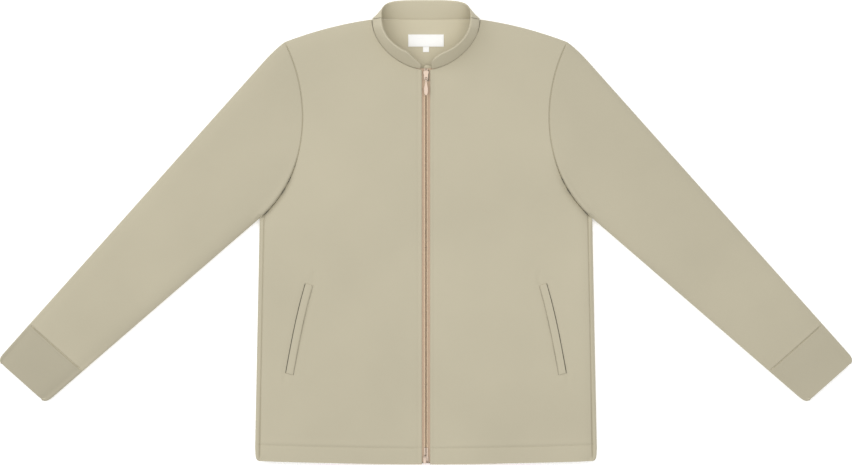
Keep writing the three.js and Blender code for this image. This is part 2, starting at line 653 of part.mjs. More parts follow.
// Materials
const twill = new THREE.MeshStandardMaterial({ color: 0xc4bca7, roughness: 0.85, metalness: 0 });
const tapeCloth = new THREE.MeshStandardMaterial({ color: 0xc8bca4, roughness: 0.8, metalness: 0 });
const coilPlastic = new THREE.MeshStandardMaterial({ color: 0xb8a287, roughness: 0.5, metalness: 0 });
const roseMetal = new THREE.MeshStandardMaterial({ color: 0xdcc7b4, roughness: 0.3, metalness: 0.9 });
const labelCloth = new THREE.MeshStandardMaterial({ color: 0xf5f5f3, roughness: 0.7, metalness: 0 });
const pocketing = new THREE.MeshStandardMaterial({ color: 0xc9c2b2, roughness: 0.9, metalness: 0 });

const jacket = new THREE.Group();

function addPiece(name, geometry, material) {
  const mesh = new THREE.Mesh(geometry, material);
  mesh.name = name;
  jacket.add(mesh);
}

const add = (name, body, material) => addPiece(name, geometryOf(body), material);

// The same piece on both sides of the wearer
function addPair(name, geometry, material) {
  addPiece(`left_${name}`, geometry, material);
  addPiece(`right_${name}`, mirrored(geometry), material);
}

add("back_panel", backPanel(), twill);
add("back_neck_facing", neckFacing(), twill);
add("neck_label", neckLabel(), labelCloth);
add("size_tab", sizeTab(), labelCloth);

addPair("front_side", geometryOf(frontSide()), twill);
addPair("front", geometryOf(movingFront()), twill);
addPair("front_facing", geometryOf(frontFacing()), twill);
addPair("pocket_welt", geometryOf(pocketWelt()), twill);
addPair("pocket_bag", geometryOf(pocketBag()), pocketing);
addPair("sleeve_head", geometryOf(sleeveHead()), twill);
addPair("sleeve", geometryOf(sleeve()), twill);
addPair("cuff", geometryOf(cuff()), twill);
addPair("cuff_facing", geometryOf(cuffFacing()), twill);

const backStations = backCollarStations();
const frontStations = frontCollarStations();
addPiece("back_collar", outerBand(backStations), twill);
addPiece("back_collar_facing", innerBand(backStations), twill);
addPair("collar", outerBand(frontStations), twill);
addPair("collar_facing", innerBand(frontStations), twill);

add("left_zip_tape", zipTape(true), tapeCloth);
addPiece("right_zip_tape", mirrored(geometryOf(zipTape(false))), tapeCloth);
add("left_zip_coil", coil(SLIDER_TOP - SLIDER_LENGTH - GAP), coilPlastic);
addPiece("right_zip_coil", mirrored(geometryOf(coil(STOP_TOP - STOP_LENGTH - GAP))), coilPlastic);
addPair("top_stop", geometryOf(topStop()), roseMetal);
add("insertion_pin", pin(RETAINER_FOOT + RETAINER_WALL + GAP), roseMetal);
addPiece("retainer_pin", mirrored(geometryOf(pin(RETAINER_TOP + GAP))), roseMetal);
add("retainer_box", retainerBox(), roseMetal);
add("zip_guard", zipGuard(), twill);
add("slider_body", sliderBody(), roseMetal);
add("slider_bridge", sliderBridge(), roseMetal);
add("pull_tab", pullTab(), roseMetal);

export default jacket;
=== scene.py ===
"""A plain zip-front jacket with a band collar, laid flat on its back.

Everything is in metres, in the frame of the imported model: +X is the wearer's left, +Y runs
from the hem to the collar, and +Z up from the surface that the jacket lies on.
"""

import math

import bmesh
import bpy
import numpy as np
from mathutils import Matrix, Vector


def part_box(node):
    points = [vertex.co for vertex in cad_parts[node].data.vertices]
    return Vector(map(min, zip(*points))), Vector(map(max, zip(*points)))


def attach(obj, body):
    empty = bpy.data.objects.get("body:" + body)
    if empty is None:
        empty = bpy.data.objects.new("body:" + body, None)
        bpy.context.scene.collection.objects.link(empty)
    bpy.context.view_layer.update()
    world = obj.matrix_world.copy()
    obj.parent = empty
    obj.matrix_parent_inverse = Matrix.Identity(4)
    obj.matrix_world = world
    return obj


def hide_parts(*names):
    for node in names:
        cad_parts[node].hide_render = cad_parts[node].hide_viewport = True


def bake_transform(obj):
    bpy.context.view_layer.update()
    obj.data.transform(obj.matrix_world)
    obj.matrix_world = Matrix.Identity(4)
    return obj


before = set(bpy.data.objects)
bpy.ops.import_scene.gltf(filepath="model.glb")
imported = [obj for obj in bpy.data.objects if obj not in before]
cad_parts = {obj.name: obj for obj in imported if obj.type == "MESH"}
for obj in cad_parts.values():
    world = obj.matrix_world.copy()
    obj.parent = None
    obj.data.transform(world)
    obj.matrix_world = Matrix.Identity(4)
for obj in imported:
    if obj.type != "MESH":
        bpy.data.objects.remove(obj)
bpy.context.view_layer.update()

bl_info = {
    "name": "Band-collar jacket",
    "version": (1, 0, 0),
    "blender": (4, 5, 0),
    "location": "View3D > Sidebar > Jacket",
    "description": "Builds a zip-front jacket that lies flat on its back",
    "category": "Object",
}

SIDES = (("left", 1.0), ("right", -1.0))


def low(node, axis):
    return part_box(node)[0][axis]


def high(node, axis):
    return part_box(node)[1][axis]


def point(x, y):
    return np.array([x, y], float)


# Places and sizes that come from the frame
X, Y, Z = 0, 1, 2
GAP = 0.0003
NECK_Y = high("back_panel", Y)
HEM_Y = low("back_panel", Y)
HEM_HALF = high("back_panel", X)
LOFT = high("left_front", Z)
UNDERARM = point(high("left_sleeve_head", X) + GAP / 2, low("left_sleeve_head", Y))
SHOULDER_Y = high("left_sleeve_head", Y)
FRONT_EDGE = low("left_front", X)
CUFF_REACH = high("left_cuff", X)
CUFF_FOOT = low("left_cuff", Y)
TAPE_TOP = high("left_zip_tape", Z)
ZIP_TOP = high("left_zip_tape", Y)
FRONT_NECK_Y = ZIP_TOP - 0.003
COIL_BASE = low("left_zip_coil", Z)
COIL_TOP = high("left_zip_coil", Z)

# The cut of the jacket
NECK_HALF = 0.087
NECK_DEPTH = NECK_Y - FRONT_NECK_Y
SHOULDER = point(0.226, SHOULDER_Y)
SHOULDER_CROWN = 0.0085
SLEEVE_ANGLE = math.radians(48.3)
SLEEVE_WAY = point(math.cos(SLEEVE_ANGLE), -math.sin(SLEEVE_ANGLE))
ACROSS = point(-math.sin(SLEEVE_ANGLE), -math.cos(SLEEVE_ANGLE))
SOLID_CUFF_WIDTH = 0.099
CUFF_LENGTH = 0.077
SLEEVE_EASE = 0.0046
CUFF_EASE = 0.0062
CUFF_OUTER = point(CUFF_REACH, CUFF_FOOT - SOLID_CUFF_WIDTH * ACROSS[1])
CUFF_OUTER = CUFF_OUTER - SLEEVE_EASE * ACROSS + CUFF_EASE * SLEEVE_WAY
CUFF_WIDTH = SOLID_CUFF_WIDTH + SLEEVE_EASE
CUFF_INNER = CUFF_OUTER + CUFF_WIDTH * ACROSS
SCOOP = 0.044
SIDE_SEAM_INSET = 0.007
HEM_RISE = 0.005
HEM_CORNER = 0.005
CUFF_CORNER = 0.006
HEM_DEPTH = 0.026

# How it lies
EDGE_Z = LOFT / 2
ROLL_TOP = 0.026
ROLL_UNDER = 0.016
HEM_SINK = 0.0052
CUFF_SINK = 0.0045
SEAM_WIDTH = 0.0009

# How its meshes are spaced and joined
FINE = (
    0, 0.0003, 0.0008, 0.0014, 0.0022, 0.0032, 0.0045, 0.006, 0.008, 0.0105, 0.0135, 0.017, 0.021, 0.0255,
)
MERGE = 3e-5


# ---------------------------------------------------------------- lines in plan


def quad(p0, p1, p2, count=24):
    t = np.linspace(0, 1, count)[:, None]
    return (1 - t) ** 2 * p0 + 2 * t * (1 - t) * p1 + t * t * p2


def cubic(p0, p1, p2, p3, t):
    t = np.asarray(t, float)[:, None]
    return (1 - t) ** 3 * p0 + 3 * t * (1 - t) ** 2 * p1 + 3 * t * t * (1 - t) * p2 + t**3 * p3


def chain(*parts):
    """One line from several, without repeated points."""
    line = np.vstack([np.atleast_2d(p) for p in parts])
    keep = [0]
    for i in range(1, len(line)):
        if np.linalg.norm(line[i] - line[keep[-1]]) > 1e-6:
            keep.append(i)
    return line[keep]


def lengths(line):
    return np.concatenate([[0], np.cumsum(np.linalg.norm(np.diff(line, axis=0), axis=1))])


def along(line, share):
    """Points at shares of a line's length."""
    s = lengths(line)
    at = np.asarray(share) * s[-1]
    return np.stack([np.interp(at, s, line[:, k]) for k in range(line.shape[1])], axis=-1)


def smooth(x, start, end):
    t = np.clip((x - start) / (end - start), 0, 1)
    return t * t * (3 - 2 * t)


def distance(points, line):
    """From each point in plan to a line."""
    best = np.full(len(points), 9.0)
    for a, b in zip(line[:-1], line[1:]):
        way = b - a
        t = np.clip(((points - a) @ way) / max(way @ way, 1e-12), 0, 1)
        best = np.minimum(best, np.linalg.norm(points - a - t[:, None] * way, axis=1))
    return best


def spaced(length, step, start=FINE, end=FINE, extra=()):
    """Shares of a length, close together at its two ends, and with extra ones kept."""
    inner = [d for d in start if d < length / 2] + [length - d for d in end if d < length / 2]
    first = max([d for d in start if d < length / 2] or [0])
    last = length - max([d for d in end if d < length / 2] or [0])
    count = max(int(round((last - first) / step)), 1)
    even = np.linspace(first, last, count + 1)
    kept = np.asarray(extra, float) * length
    values = np.unique(np.round(np.concatenate([inner, even, kept, [0, length]]), 7))
    keep = [values[0]]
    fixed = set(np.round(kept, 7)) | {round(length, 7)}
    for v in values[1:]:
        if v - keep[-1] > 2e-4 or round(v, 7) in fixed:
            if v - keep[-1] <= 2e-4 and len(keep) > 1 and round(keep[-1], 7) not in fixed:
                keep.pop()
            keep.append(v)
    return np.array(keep) / length


def hem_y(x):
    return HEM_Y + HEM_RISE * (np.abs(x) / HEM_HALF) ** 2


def hem_line(start, end, count, above=0.0):
    """A line along the hem, or a little above it."""
    xs = np.linspace(start, end, count)
    return np.stack([xs, hem_y(xs) + above], axis=1)


def side_line():
    """The side of the body, from the hem's rounded corner up to the underarm."""
    foot = hem_y(HEM_HALF) + 0.0002
    start, end = point(HEM_HALF - HEM_CORNER, foot), point(HEM_HALF, foot + 4 * HEM_CORNER)
    return chain(quad(start, point(HEM_HALF, foot), end), UNDERARM[None])


def shoulder_line():
    crown = (point(NECK_HALF, NECK_Y) + SHOULDER) / 2 + point(0, SHOULDER_CROWN)
    return quad(point(NECK_HALF, NECK_Y), crown, SHOULDER)


def outer_sleeve_line():
    cap = SHOULDER + point(0.0315, -0.029)
    start = quad(SHOULDER, SHOULDER + point(0.0145, -0.0105), cap)
    return chain(start, CUFF_OUTER[None])


INNER_SLEEVE = chain(UNDERARM[None], CUFF_INNER[None])
SIDE = side_line()
SHOULDER_LINE = shoulder_line()
OUTER_SLEEVE = outer_sleeve_line()
INNER_WAY = (CUFF_INNER - UNDERARM) / np.linalg.norm(CUFF_INNER - UNDERARM)
ARMHOLE = cubic(
    SHOULDER,
    *(SHOULDER + point(-SCOOP, share * (UNDERARM[1] - SHOULDER[1])) for share in (0.3, 0.74)),
    UNDERARM,
    np.linspace(0, 1, 60),
)
# The rolled edges run on past the pieces, so that no end of theirs counts as an edge
PAST = 0.05
OUTER_EDGE = chain(
    point(NECK_HALF, NECK_Y + PAST)[None], SHOULDER_LINE, OUTER_SLEEVE, (CUFF_OUTER + PAST * SLEEVE_WAY)[None]
)
INNER_EDGE = chain(
    (CUFF_INNER + PAST * INNER_WAY)[None],
    INNER_SLEEVE[::-1],
    SIDE[::-1],
    point(HEM_HALF - 1.4 * HEM_CORNER, HEM_Y - 0.02)[None],
)


def neck_seam(t, inset=0.0):
    half = NECK_HALF - inset
    return cubic(
        point(0, FRONT_NECK_Y + inset),
        point(0.48 * half, FRONT_NECK_Y + inset + 0.0015),
        point(0.99 * half, NECK_Y - 0.515 * (NECK_DEPTH - inset)),
        point(half, NECK_Y),
        t,
    )


def cuff_line(setback):
    """Across the sleeve at a distance from its end, from the outer edge to the inner edge."""
    back = setback / (INNER_WAY @ SLEEVE_WAY)
    return np.stack([CUFF_OUTER - setback * SLEEVE_WAY, CUFF_INNER - back * INNER_WAY])


CUFF_SEAM = cuff_line(CUFF_LENGTH)
HEM_STITCH = hem_line(0, HEM_HALF, 24, HEM_DEPTH)
SIDE_SEAM = chain(
    point(HEM_HALF - SIDE_SEAM_INSET, hem_y(HEM_HALF - SIDE_SEAM_INSET))[None],
    UNDERARM[None] - point(SIDE_SEAM_INSET, 0),
)

# Pockets, from their welts' boxes
POCKET_SLANT = math.radians(13.2)
WELT_LENGTH = 0.147
WELT_WIDTH = 0.012
SLIT = 0.0012
WELT_DITCH = 0.0005
POCKET_DOWN = point(math.sin(POCKET_SLANT), -math.cos(POCKET_SLANT))
POCKET_OUT = point(math.cos(POCKET_SLANT), math.sin(POCKET_SLANT))
WELT_TOP = point(high("left_pocket_welt", X), high("left_pocket_welt", Y))
WELT_TOP = WELT_TOP - WELT_LENGTH * point(POCKET_DOWN[0], 0)
# the height of the pin that the puller swings on
PULL_PIVOT_Z = 0.0219
SENSOR_WIDTH = 36
BAG_INNER = 0.084
BAG_OUTER = 0.015
BAG_PAST = 0.008


def pocket_point(out, down):
    """A place by its distances from the opening and from its top; the opening bows a little."""
    share = down / WELT_LENGTH
    bow = 0.0022 * math.sin(math.pi * min(max(share, 0), 1) ** 0.8) - 0.002 * share
    return WELT_TOP + (out + bow) * POCKET_OUT + down * POCKET_DOWN


def pocket_line(out):
    return np.stack([pocket_point(out, down) for down in np.linspace(0, WELT_LENGTH, 12)])


# ---------------------------------------------------------------- heights


def swell(t):
    return np.sqrt(np.clip(1 - (1 - np.clip(t, 0, 1)) ** 2, 0, 1))


def edge_distance(points):
    p = np.column_stack([np.abs(points[:, 0]), points[:, 1]])
    found = np.minimum(distance(p, OUTER_EDGE), distance(p, INNER_EDGE))
    return np.where(found < 2e-6, 0, found)


def mound(d, height, width, at=0.0, power=2):
    """A rounded rise of that height and width, at a distance from something."""
    return height * np.exp(-(((d - at) / width) ** power))


def groove(p, line, depth, width):
    return -mound(distance(p, line), depth, width)


def ripple(points):
    """Slow rises and dips, the same each time."""
    x, y = points[:, 0], points[:, 1]
    waves = (
        (21.0, 9.0, 0.4, 0.35),
        (-14.0, 24.0, 1.9, 0.30),
        (33.0, -17.0, 4.1, 0.22),
        (8.0, 41.0, 2.7, 0.18),
        (-47.0, 12.0, 0.9, 0.13),
        (39.0, 52.0, 5.3, 0.10),
    )
    return sum(0.001 * size * np.sin(kx * x + ky * y + phase) for kx, ky, phase, size in waves)


def relief(points, cloth):
    """What the cloth does on top of its plain rolled shape, on the upper side."""
    p = np.column_stack([np.abs(points[:, 0]), points[:, 1]])
    x, y = p[:, 0], p[:, 1]
    down_sleeve = (p - SHOULDER) @ SLEEVE_WAY
    above_hem = y - hem_y(x)
    off_zip = smooth(x, 0.012, 0.06)
    depth = cloth.seam_depth
    lift = ripple(points) * off_zip
    # the body is flatter at its hem, and the sleeve at its cuff
    at_hem = 1 - smooth(y, HEM_Y - 0.01, HEM_Y + 0.15)
    lift -= HEM_SINK * at_hem * smooth(x, 0.07, 0.15) * (1 - smooth(x, 0.262, 0.30))
    lift -= CUFF_SINK * smooth(down_sleeve, 0.50, 0.68) * smooth(x, 0.40, 0.45)
    # the armhole: a fine line above, and below it the body drops away beside the sleeve's rolled edge
    lower = smooth(-y, -0.135, -0.06)
    near = distance(p, ARMHOLE)
    on_sleeve = x > np.interp(y, ARMHOLE[::-1, 1], ARMHOLE[::-1, 0])
    lift -= mound(near, depth, SEAM_WIDTH)
    body = mound(near, height=0.0050, width=0.0062, power=1.5) + mound(near, height=0.0016, width=0.018)
    edge = mound(near, height=0.0012, width=0.0010) - mound(near, height=0.0016, width=0.004, at=0.0045)
    lift -= lower * np.where(on_sleeve, edge, body)
    # the other seams, the ridge beside the cuff's, and the hem's soft ridges above and below its stitches
    lift += groove(p, SIDE_SEAM, depth, SEAM_WIDTH)
    lift += groove(p, CUFF_SEAM, depth, SEAM_WIDTH)
    lift += mound(distance(p, CUFF_SEAM), height=0.0004, width=0.0018, at=0.003)
    lift += groove(p, HEM_STITCH, 0.35 * depth, 0.0015)
    lift += mound(above_hem - HEM_DEPTH, height=0.0008, width=0.003, at=0.005) * off_zip
    lift += mound(above_hem, height=0.0007, width=0.010, at=0.013) * off_zip
    # the folded edges beside the zip
    lift -= mound(x, height=0.0007, width=0.0016, at=0.0125)
    # the seam along the pocket's welt, the pull of its opening, and puckers at its two ends
    lift += groove(p, pocket_line(-WELT_WIDTH), depth=0.0007, width=0.005)
    lift += groove(p, pocket_line(0.0), depth=0.0009, width=0.005)
    puckers = (
        ((-WELT_WIDTH + 0.001, -0.001), (-WELT_WIDTH + 0.004, -0.020), 0.0014, 0.0016),
        ((0.001, WELT_LENGTH + 0.001), (-0.003, WELT_LENGTH + 0.018), 0.0011, 0.0022),
        ((0.004, WELT_LENGTH - 0.010), (0.009, WELT_LENGTH - 0.002), 0.0008, 0.0020),
    )
    for start, end, deep, wide in puckers:
        lift += groove(p, np.stack([pocket_point(*start), pocket_point(*end)]), deep, wide)
    return lift


def from_edge(points, forced):
    """Distances from the rolled edges, and none where a point is forced onto one."""
    d = edge_distance(points)
    return d if forced is None else np.where(forced, 0, d)


def top_height(points, cloth, forced=None):
    d = from_edge(points, forced)
    rise = swell(d / ROLL_TOP)
    return EDGE_Z + (LOFT - EDGE_Z) * rise + relief(points, cloth) * smooth(d, 0.0, 0.008)


def under_height(points, forced=None):
    d = from_edge(points, forced)
    p = np.column_stack([np.abs(points[:, 0]), points[:, 1]])
    seam = groove(p, ARMHOLE, 0.0006, 0.0014) + groove(p, CUFF_SEAM, 0.0006, 0.0014)
    return EDGE_Z * (1 - swell(d / ROLL_UNDER)) - seam + 0.0001


# ---------------------------------------------------------------- meshes


def coons(bottom, top, left, right, us, vs):
    """A net of points in plan between four lines: rows run from left to right."""
    b, t = along(bottom, us), along(top, us)
    lft, rgt = along(left, vs), along(right, vs)
    u, v = us[None, :, None], vs[:, None, None]
    net = (1 - v) * b[None] + v * t[None] + (1 - u) * lft[:, None] + u * rgt[:, None]
    corners = (1 - u) * (1 - v) * bottom[0] + u * (1 - v) * bottom[-1]
    corners = corners + (1 - u) * v * top[0] + u * v * top[-1]
    return net - corners


def raised(net, z):
    """A net in plan with its heights added."""
    return np.concatenate([net, np.broadcast_to(z, net.shape[:2])[..., None]], axis=2)


def lifted(net, height):
    return raised(net, height(net.reshape(-1, 2)).reshape(net.shape[:2]))


def other_side(net):
    """The same net on the wearer's other side, still turned the same way up."""
    turned = net[:, ::-1].copy()
    turned[..., 0] *= -1
    return turned


def on_side(sign, *nets):
    """The nets as they are for the wearer's left, or turned over for the right."""
    return nets if sign > 0 else tuple(other_side(net) for net in nets)


def new_object(name, vertices, faces, uvs=None):
    mesh = bpy.data.meshes.new(name)
    mesh.from_pydata([tuple(v) for v in vertices], [], [tuple(int(i) for i in f) for f in faces])
    mesh.update()
    if uvs is not None:
        layer = mesh.uv_layers.new(name="UVMap")
        corner = np.zeros(len(mesh.loops), int)
        mesh.loops.foreach_get("vertex_index", corner)
        layer.data.foreach_set("uv", np.asarray(uvs, np.float32)[corner].ravel())
    made = bpy.data.objects.new(name, mesh)
    bpy.context.scene.collection.objects.link(made)
    return made


def net_faces(rows, columns, closed=False, start=0):
    last = columns if closed else columns - 1
    i, j = np.meshgrid(np.arange(rows - 1), np.arange(last), indexing="ij")
    k = (j + 1) % columns
    quads = np.stack([i * columns + j, i * columns + k, (i + 1) * columns + k, (i + 1) * columns + j], axis=-1)
    return quads.reshape(-1, 4) + start


def only(made):
    """Nothing but this object is selected, and it is active."""
    bpy.ops.object.select_all(action="DESELECT")
    made.hide_set(False)
    made.select_set(True)
    bpy.context.view_layer.objects.active = made


def apply_modifiers(made):
    only(made)
    for modifier in list(made.modifiers):
        bpy.ops.object.modifier_apply(modifier=modifier.name)


def shade(made, angle=50):
    only(made)
    bpy.ops.object.shade_smooth_by_angle(angle=math.radians(angle))


def cloth_piece(name, nets, uvs, thickness, material, closed=False, cuts=(), even=True, **cutting):
    """A cloth piece from one or more nets that share their edges, with its thickness inwards."""
    vertices, faces, flat = [], [], []
    start = 0
    for net, uv in zip(nets, uvs):
        rows, columns = net.shape[:2]
        vertices.append(net.reshape(-1, 3))
        flat.append(uv.reshape(-1, 2))
        faces.append(net_faces(rows, columns, closed, start))
        start += rows * columns
    made = new_object(name, np.vstack(vertices), np.vstack(faces), np.vstack(flat))
    shape = bmesh.new()
    shape.from_mesh(made.data)
    if len(nets) > 1:
        bmesh.ops.remove_doubles(shape, verts=shape.verts, dist=MERGE)
    for corners in cuts:
        cut_hole(shape, corners, **cutting)
    shape.to_mesh(made.data)
    shape.free()
    solid = made.modifiers.new("Thickness", "SOLIDIFY")
    solid.thickness, solid.offset, solid.use_quality_normals = thickness, -1, even
    apply_modifiers(made)
    shade(made)
    made.data.materials.append(material)
    return made


def cut_hole(shape, corners, spread=0.012, above=-1.0):
    """Cuts a four-sided hole, given in plan, with clean edges, through the faces above a height."""
    corners = [np.asarray(c, float) for c in corners]
    sides = list(zip(corners, corners[1:] + corners[:1]))
    centre = sum(corners) / 4
    reach = max(np.linalg.norm(c - centre) for c in corners) + spread

    def places():
        for face in shape.faces:
            middle = face.calc_center_median()
            if middle.z > above:
                yield face, np.array(middle[:2])

    for a, b in sides:
        near = [face for face, place in places() if np.hypot(*(place - centre)) < reach]
        parts = {v for f in near for v in f.verts} | {e for f in near for e in f.edges} | set(near)
        normal = Vector((b[1] - a[1], a[0] - b[0], 0)).normalized()
        bmesh.ops.bisect_plane(shape, geom=list(parts), dist=1e-6, plane_co=Vector((*a, 0)), plane_no=normal)
    turn = np.sign(np.cross(corners[1] - corners[0], corners[2] - corners[1]))
    inside = [face for face, place in places() if all(turn * np.cross(b - a, place - a) > 0 for a, b in sides)]
    bmesh.ops.delete(shape, geom=inside, context="FACES")


def finish_piece(made, body, replaced=(), material=None):
    """Gives a piece its body and the nodes that it stands for."""
    if material is not None:
        made.data.materials.append(material)
    if body:
        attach(made, body)
    if replaced:
        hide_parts(*replaced)
    return made


def sewn(made, body, replaced, flat, rests_on, held="laid", slot="twill", **sheet):
    finish_piece(made, body, replaced)


def bend_at_fold(made):
    """Bakes the piece's placement into its mesh."""
    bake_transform(made)


# ---------------------------------------------------------------- materials


def shader_tree(name):
    material = bpy.data.materials.new(name)
    material.use_nodes = True
    tree = material.node_tree
    bsdf = next(n for n in tree.nodes if n.type == "BSDF_PRINCIPLED")
    return material, tree, bsdf


def node(tree, kind, **values):
    """A shader node, with sockets and settings by name, and sockets linked where a value is one."""
    made = tree.nodes.new(kind)
    for key, value in values.items():
        if key not in made.inputs:
            setattr(made, key, value)
        elif isinstance(value, bpy.types.NodeSocket):
            tree.links.new(value, made.inputs[key])
        else:
            made.inputs[key].default_value = value
    return made


def math_node(tree, operation, *values):
    made = tree.nodes.new("ShaderNodeMath")
    made.operation = operation
    for socket, value in zip(made.inputs, values):
        if isinstance(value, (int, float)):
            socket.default_value = value
        else:
            tree.links.new(value, socket)
    return made.outputs[0]


def linear(colour):
    return tuple(c / 12.92 if c <= 0.04045 else ((c + 0.055) / 1.055) ** 2.4 for c in colour)


def grey(tree, share):
    """A share as a colour."""
    made = node(tree, "ShaderNodeCombineColor")
    for socket in made.inputs[:3]:
        tree.links.new(share, socket)
    return made.outputs[0]


def finished(tree, bsdf, colour, tone, rough, height, strength, distance):
    """Links a colour times a tone, a roughness and a bump to the shader."""
    paint = node(tree, "ShaderNodeMix", data_type="RGBA", blend_type="MULTIPLY", Factor=1)
    paint.inputs[6].default_value = (*linear(colour), 1)
    tree.links.new(grey(tree, tone), paint.inputs[7])
    tree.links.new(paint.outputs[2], bsdf.inputs["Base Color"])
    tree.links.new(rough, bsdf.inputs["Roughness"])
    bump = node(tree, "ShaderNodeBump", Strength=strength, Distance=distance, Height=height)
    tree.links.new(bump.outputs[0], bsdf.inputs["Normal"])


def weave_material(name, colour, pitch, turn=0.0, strength=0.3, roughness=0.85, ribs=True, sheen=0.12):
    """Woven cloth: diagonal ribs crossed by threads, with slow changes of tone."""
    material, tree, bsdf = shader_tree(name)
    uv = node(tree, "ShaderNodeUVMap", uv_map="UVMap")
    cloth = node(tree, "ShaderNodeMapping", Vector=uv.outputs[0], Rotation=(0, 0, turn)).outputs[0]
    per_wave = 2 * math.pi / 20
    rib = node(
        tree, "ShaderNodeTexWave", bands_direction="DIAGONAL" if ribs else "X", Vector=cloth,
        Scale=per_wave / pitch, Distortion=0.6, **{"Detail Scale": 2.0},
    ).outputs["Fac"]
    thread = node(
        tree, "ShaderNodeTexWave", bands_direction="Y", Vector=cloth,
        Scale=per_wave / (0.55 * pitch), Distortion=0.4,
    ).outputs["Fac"]
    slub = node(tree, "ShaderNodeTexNoise", Vector=cloth, Scale=900).outputs["Fac"]
    place = node(tree, "ShaderNodeTexCoord").outputs["Object"]
    slow = node(tree, "ShaderNodeTexNoise", Vector=place, Scale=5.5, Detail=3).outputs["Fac"]
    # tone: slow patches, thread-by-thread change, and painted shade that darkens the valleys between the ribs
    patches = math_node(tree, "MULTIPLY_ADD", slow, 0.16, 0.9)
    threads = math_node(tree, "MULTIPLY_ADD", slub, 0.05, patches)
    tone_with_valley_shade = math_node(tree, "MULTIPLY_ADD", rib, 0.05, threads)
    tone = math_node(tree, "SUBTRACT", tone_with_valley_shade, 0.05)
    rough = math_node(tree, "MULTIPLY_ADD", slub, 0.12, roughness - 0.06)
    weave = math_node(tree, "MULTIPLY_ADD", thread, 0.35, rib)
    finished(tree, bsdf, colour, tone, rough, weave, strength, 0.00025)
    bsdf.inputs["Sheen Weight"].default_value = sheen
    bsdf.inputs["Sheen Roughness"].default_value = 0.5
    bsdf.inputs["Specular IOR Level"].default_value = 0.25
    return material


def worn_material(name, colour, roughness, metallic, scale, strength):
    """A smooth hard finish, brushed a little and rubbed here and there."""
    material, tree, bsdf = shader_tree(name)
    place = node(tree, "ShaderNodeTexCoord").outputs["Object"]
    rubbed = node(tree, "ShaderNodeTexNoise", Vector=place, Scale=scale, Detail=4).outputs["Fac"]
    tone = math_node(tree, "MULTIPLY_ADD", rubbed, 0.18, 0.9)
    rough = math_node(tree, "MULTIPLY_ADD", rubbed, 0.2, roughness - 0.1)
    finished(tree, bsdf, colour, tone, rough, rubbed, strength, 0.00005)
    bsdf.inputs["Metallic"].default_value = metallic
    return material


def shared(name, make, colour, *settings, **more):
    """The material of that finish, made the first time that it's asked for."""
    name = f"jacket_{name}"
    return bpy.data.materials.get(name) or make(name, colour, *settings, **more)


def colour_of(name):
    return getattr(read("jacket_colours"), name)


# Copies of the twill differ from it only in brightness, by their share: a share above one is painted light and a
# share below one is painted shade, for how light falls on those pieces.
def twill(turn=0.0, name="twill", share=1.0):
    return shared(name, weave_material, [c * share for c in colour_of("twill")], 0.0009, turn)


def collar_twill():
    # the collar's copy of the twill is lighter: painted light
    return twill(0.0, "twill_collar", 1.04)


def lining():
    # the inside pieces get a lighter copy of the twill: painted light that lifts the shade inside the jacket
    return twill(0.0, "twill_inside", 1.08)


def pocketing():
    return shared("pocketing", weave_material, colour_of("pocketing"), 0.0006, 0.0, 0.2, ribs=False)


def tape_cloth():
    return shared("tape", weave_material, colour_of("tape"), 0.0011, 0.0, 0.5, 0.8)


def label_cloth():
    return shared("label", weave_material, colour_of("label"), 0.0004, 0.0, 0.15, 0.7, ribs=False, sheen=0.3)


def thread(use="thread", roughness=0.75, strength=0.4):
    return shared(use, worn_material, colour_of(use), roughness, 0.0, 900, strength)


def coil_plastic():
    return shared("coil_plastic", worn_material, colour_of("coil"), 0.45, 0.0, 300, 0.2)


def rose_metal():
    return shared("rose_metal", worn_material, colour_of("metal"), 0.34, 0.85, 420, 0.15)


# ---------------------------------------------------------------- settings


def length_property(name, description, default, least, most):
    return bpy.props.FloatProperty(
        name=name, description=description, default=default, min=least, max=most, precision=4, unit="LENGTH"
    )


class JacketCloth(bpy.types.PropertyGroup):
    thickness: length_property("Cloth thickness", "Thickness of one layer of the shell", 0.0012, 0.0005, 0.0016)
    facing_thickness: length_property("Facing thickness", "Thickness of a facing", 0.0009, 0.0004, 0.0012)
    seam_depth: length_property("Seam depth", "How far a seam draws the cloth in", 0.0019, 0.0, 0.003)
    step: length_property("Mesh step", "Size of the cloth's faces away from its edges", 0.0045, 0.003, 0.02)
    stitch_length: length_property("Stitch length", "Length of one stitch with its hole", 0.0032, 0.002, 0.006)


class JacketZip(bpy.types.PropertyGroup):
    coil_pitch: length_property("Coil pitch", "Distance between two turns of the coil", 0.0014, 0.001, 0.003)
    wire: length_property("Coil wire", "Thickness of the coil's wire", 0.00095, 0.0003, 0.0013)


def colour_property(name, description, default):
    return bpy.props.FloatVectorProperty(
        name=name, description=description, default=default, size=3, min=0, max=1, subtype="COLOR_GAMMA"
    )


class JacketColours(bpy.types.PropertyGroup):
    twill: colour_property("Twill", "Colour of the shell", (0.730, 0.701, 0.612))
    pocketing: colour_property("Pocketing", "Colour of the pocket bags", (0.75, 0.72, 0.65))
    tape: colour_property("Zip tape", "Colour of the zip's tape", (0.765, 0.67, 0.575))
    coil: colour_property("Coil", "Colour of the zip's coils", (0.97, 0.86, 0.73))
    metal: colour_property("Metal", "Colour of the slider, puller, stops and box", (0.71, 0.64, 0.58))
    label: colour_property("Label", "Colour of the neck label and its tab", (0.98, 0.98, 0.975))
    thread: colour_property("Thread", "Colour of the stitches", (0.72, 0.69, 0.60))
    label_thread: colour_property("Label thread", "Colour of the label's stitches", (0.93, 0.93, 0.92))


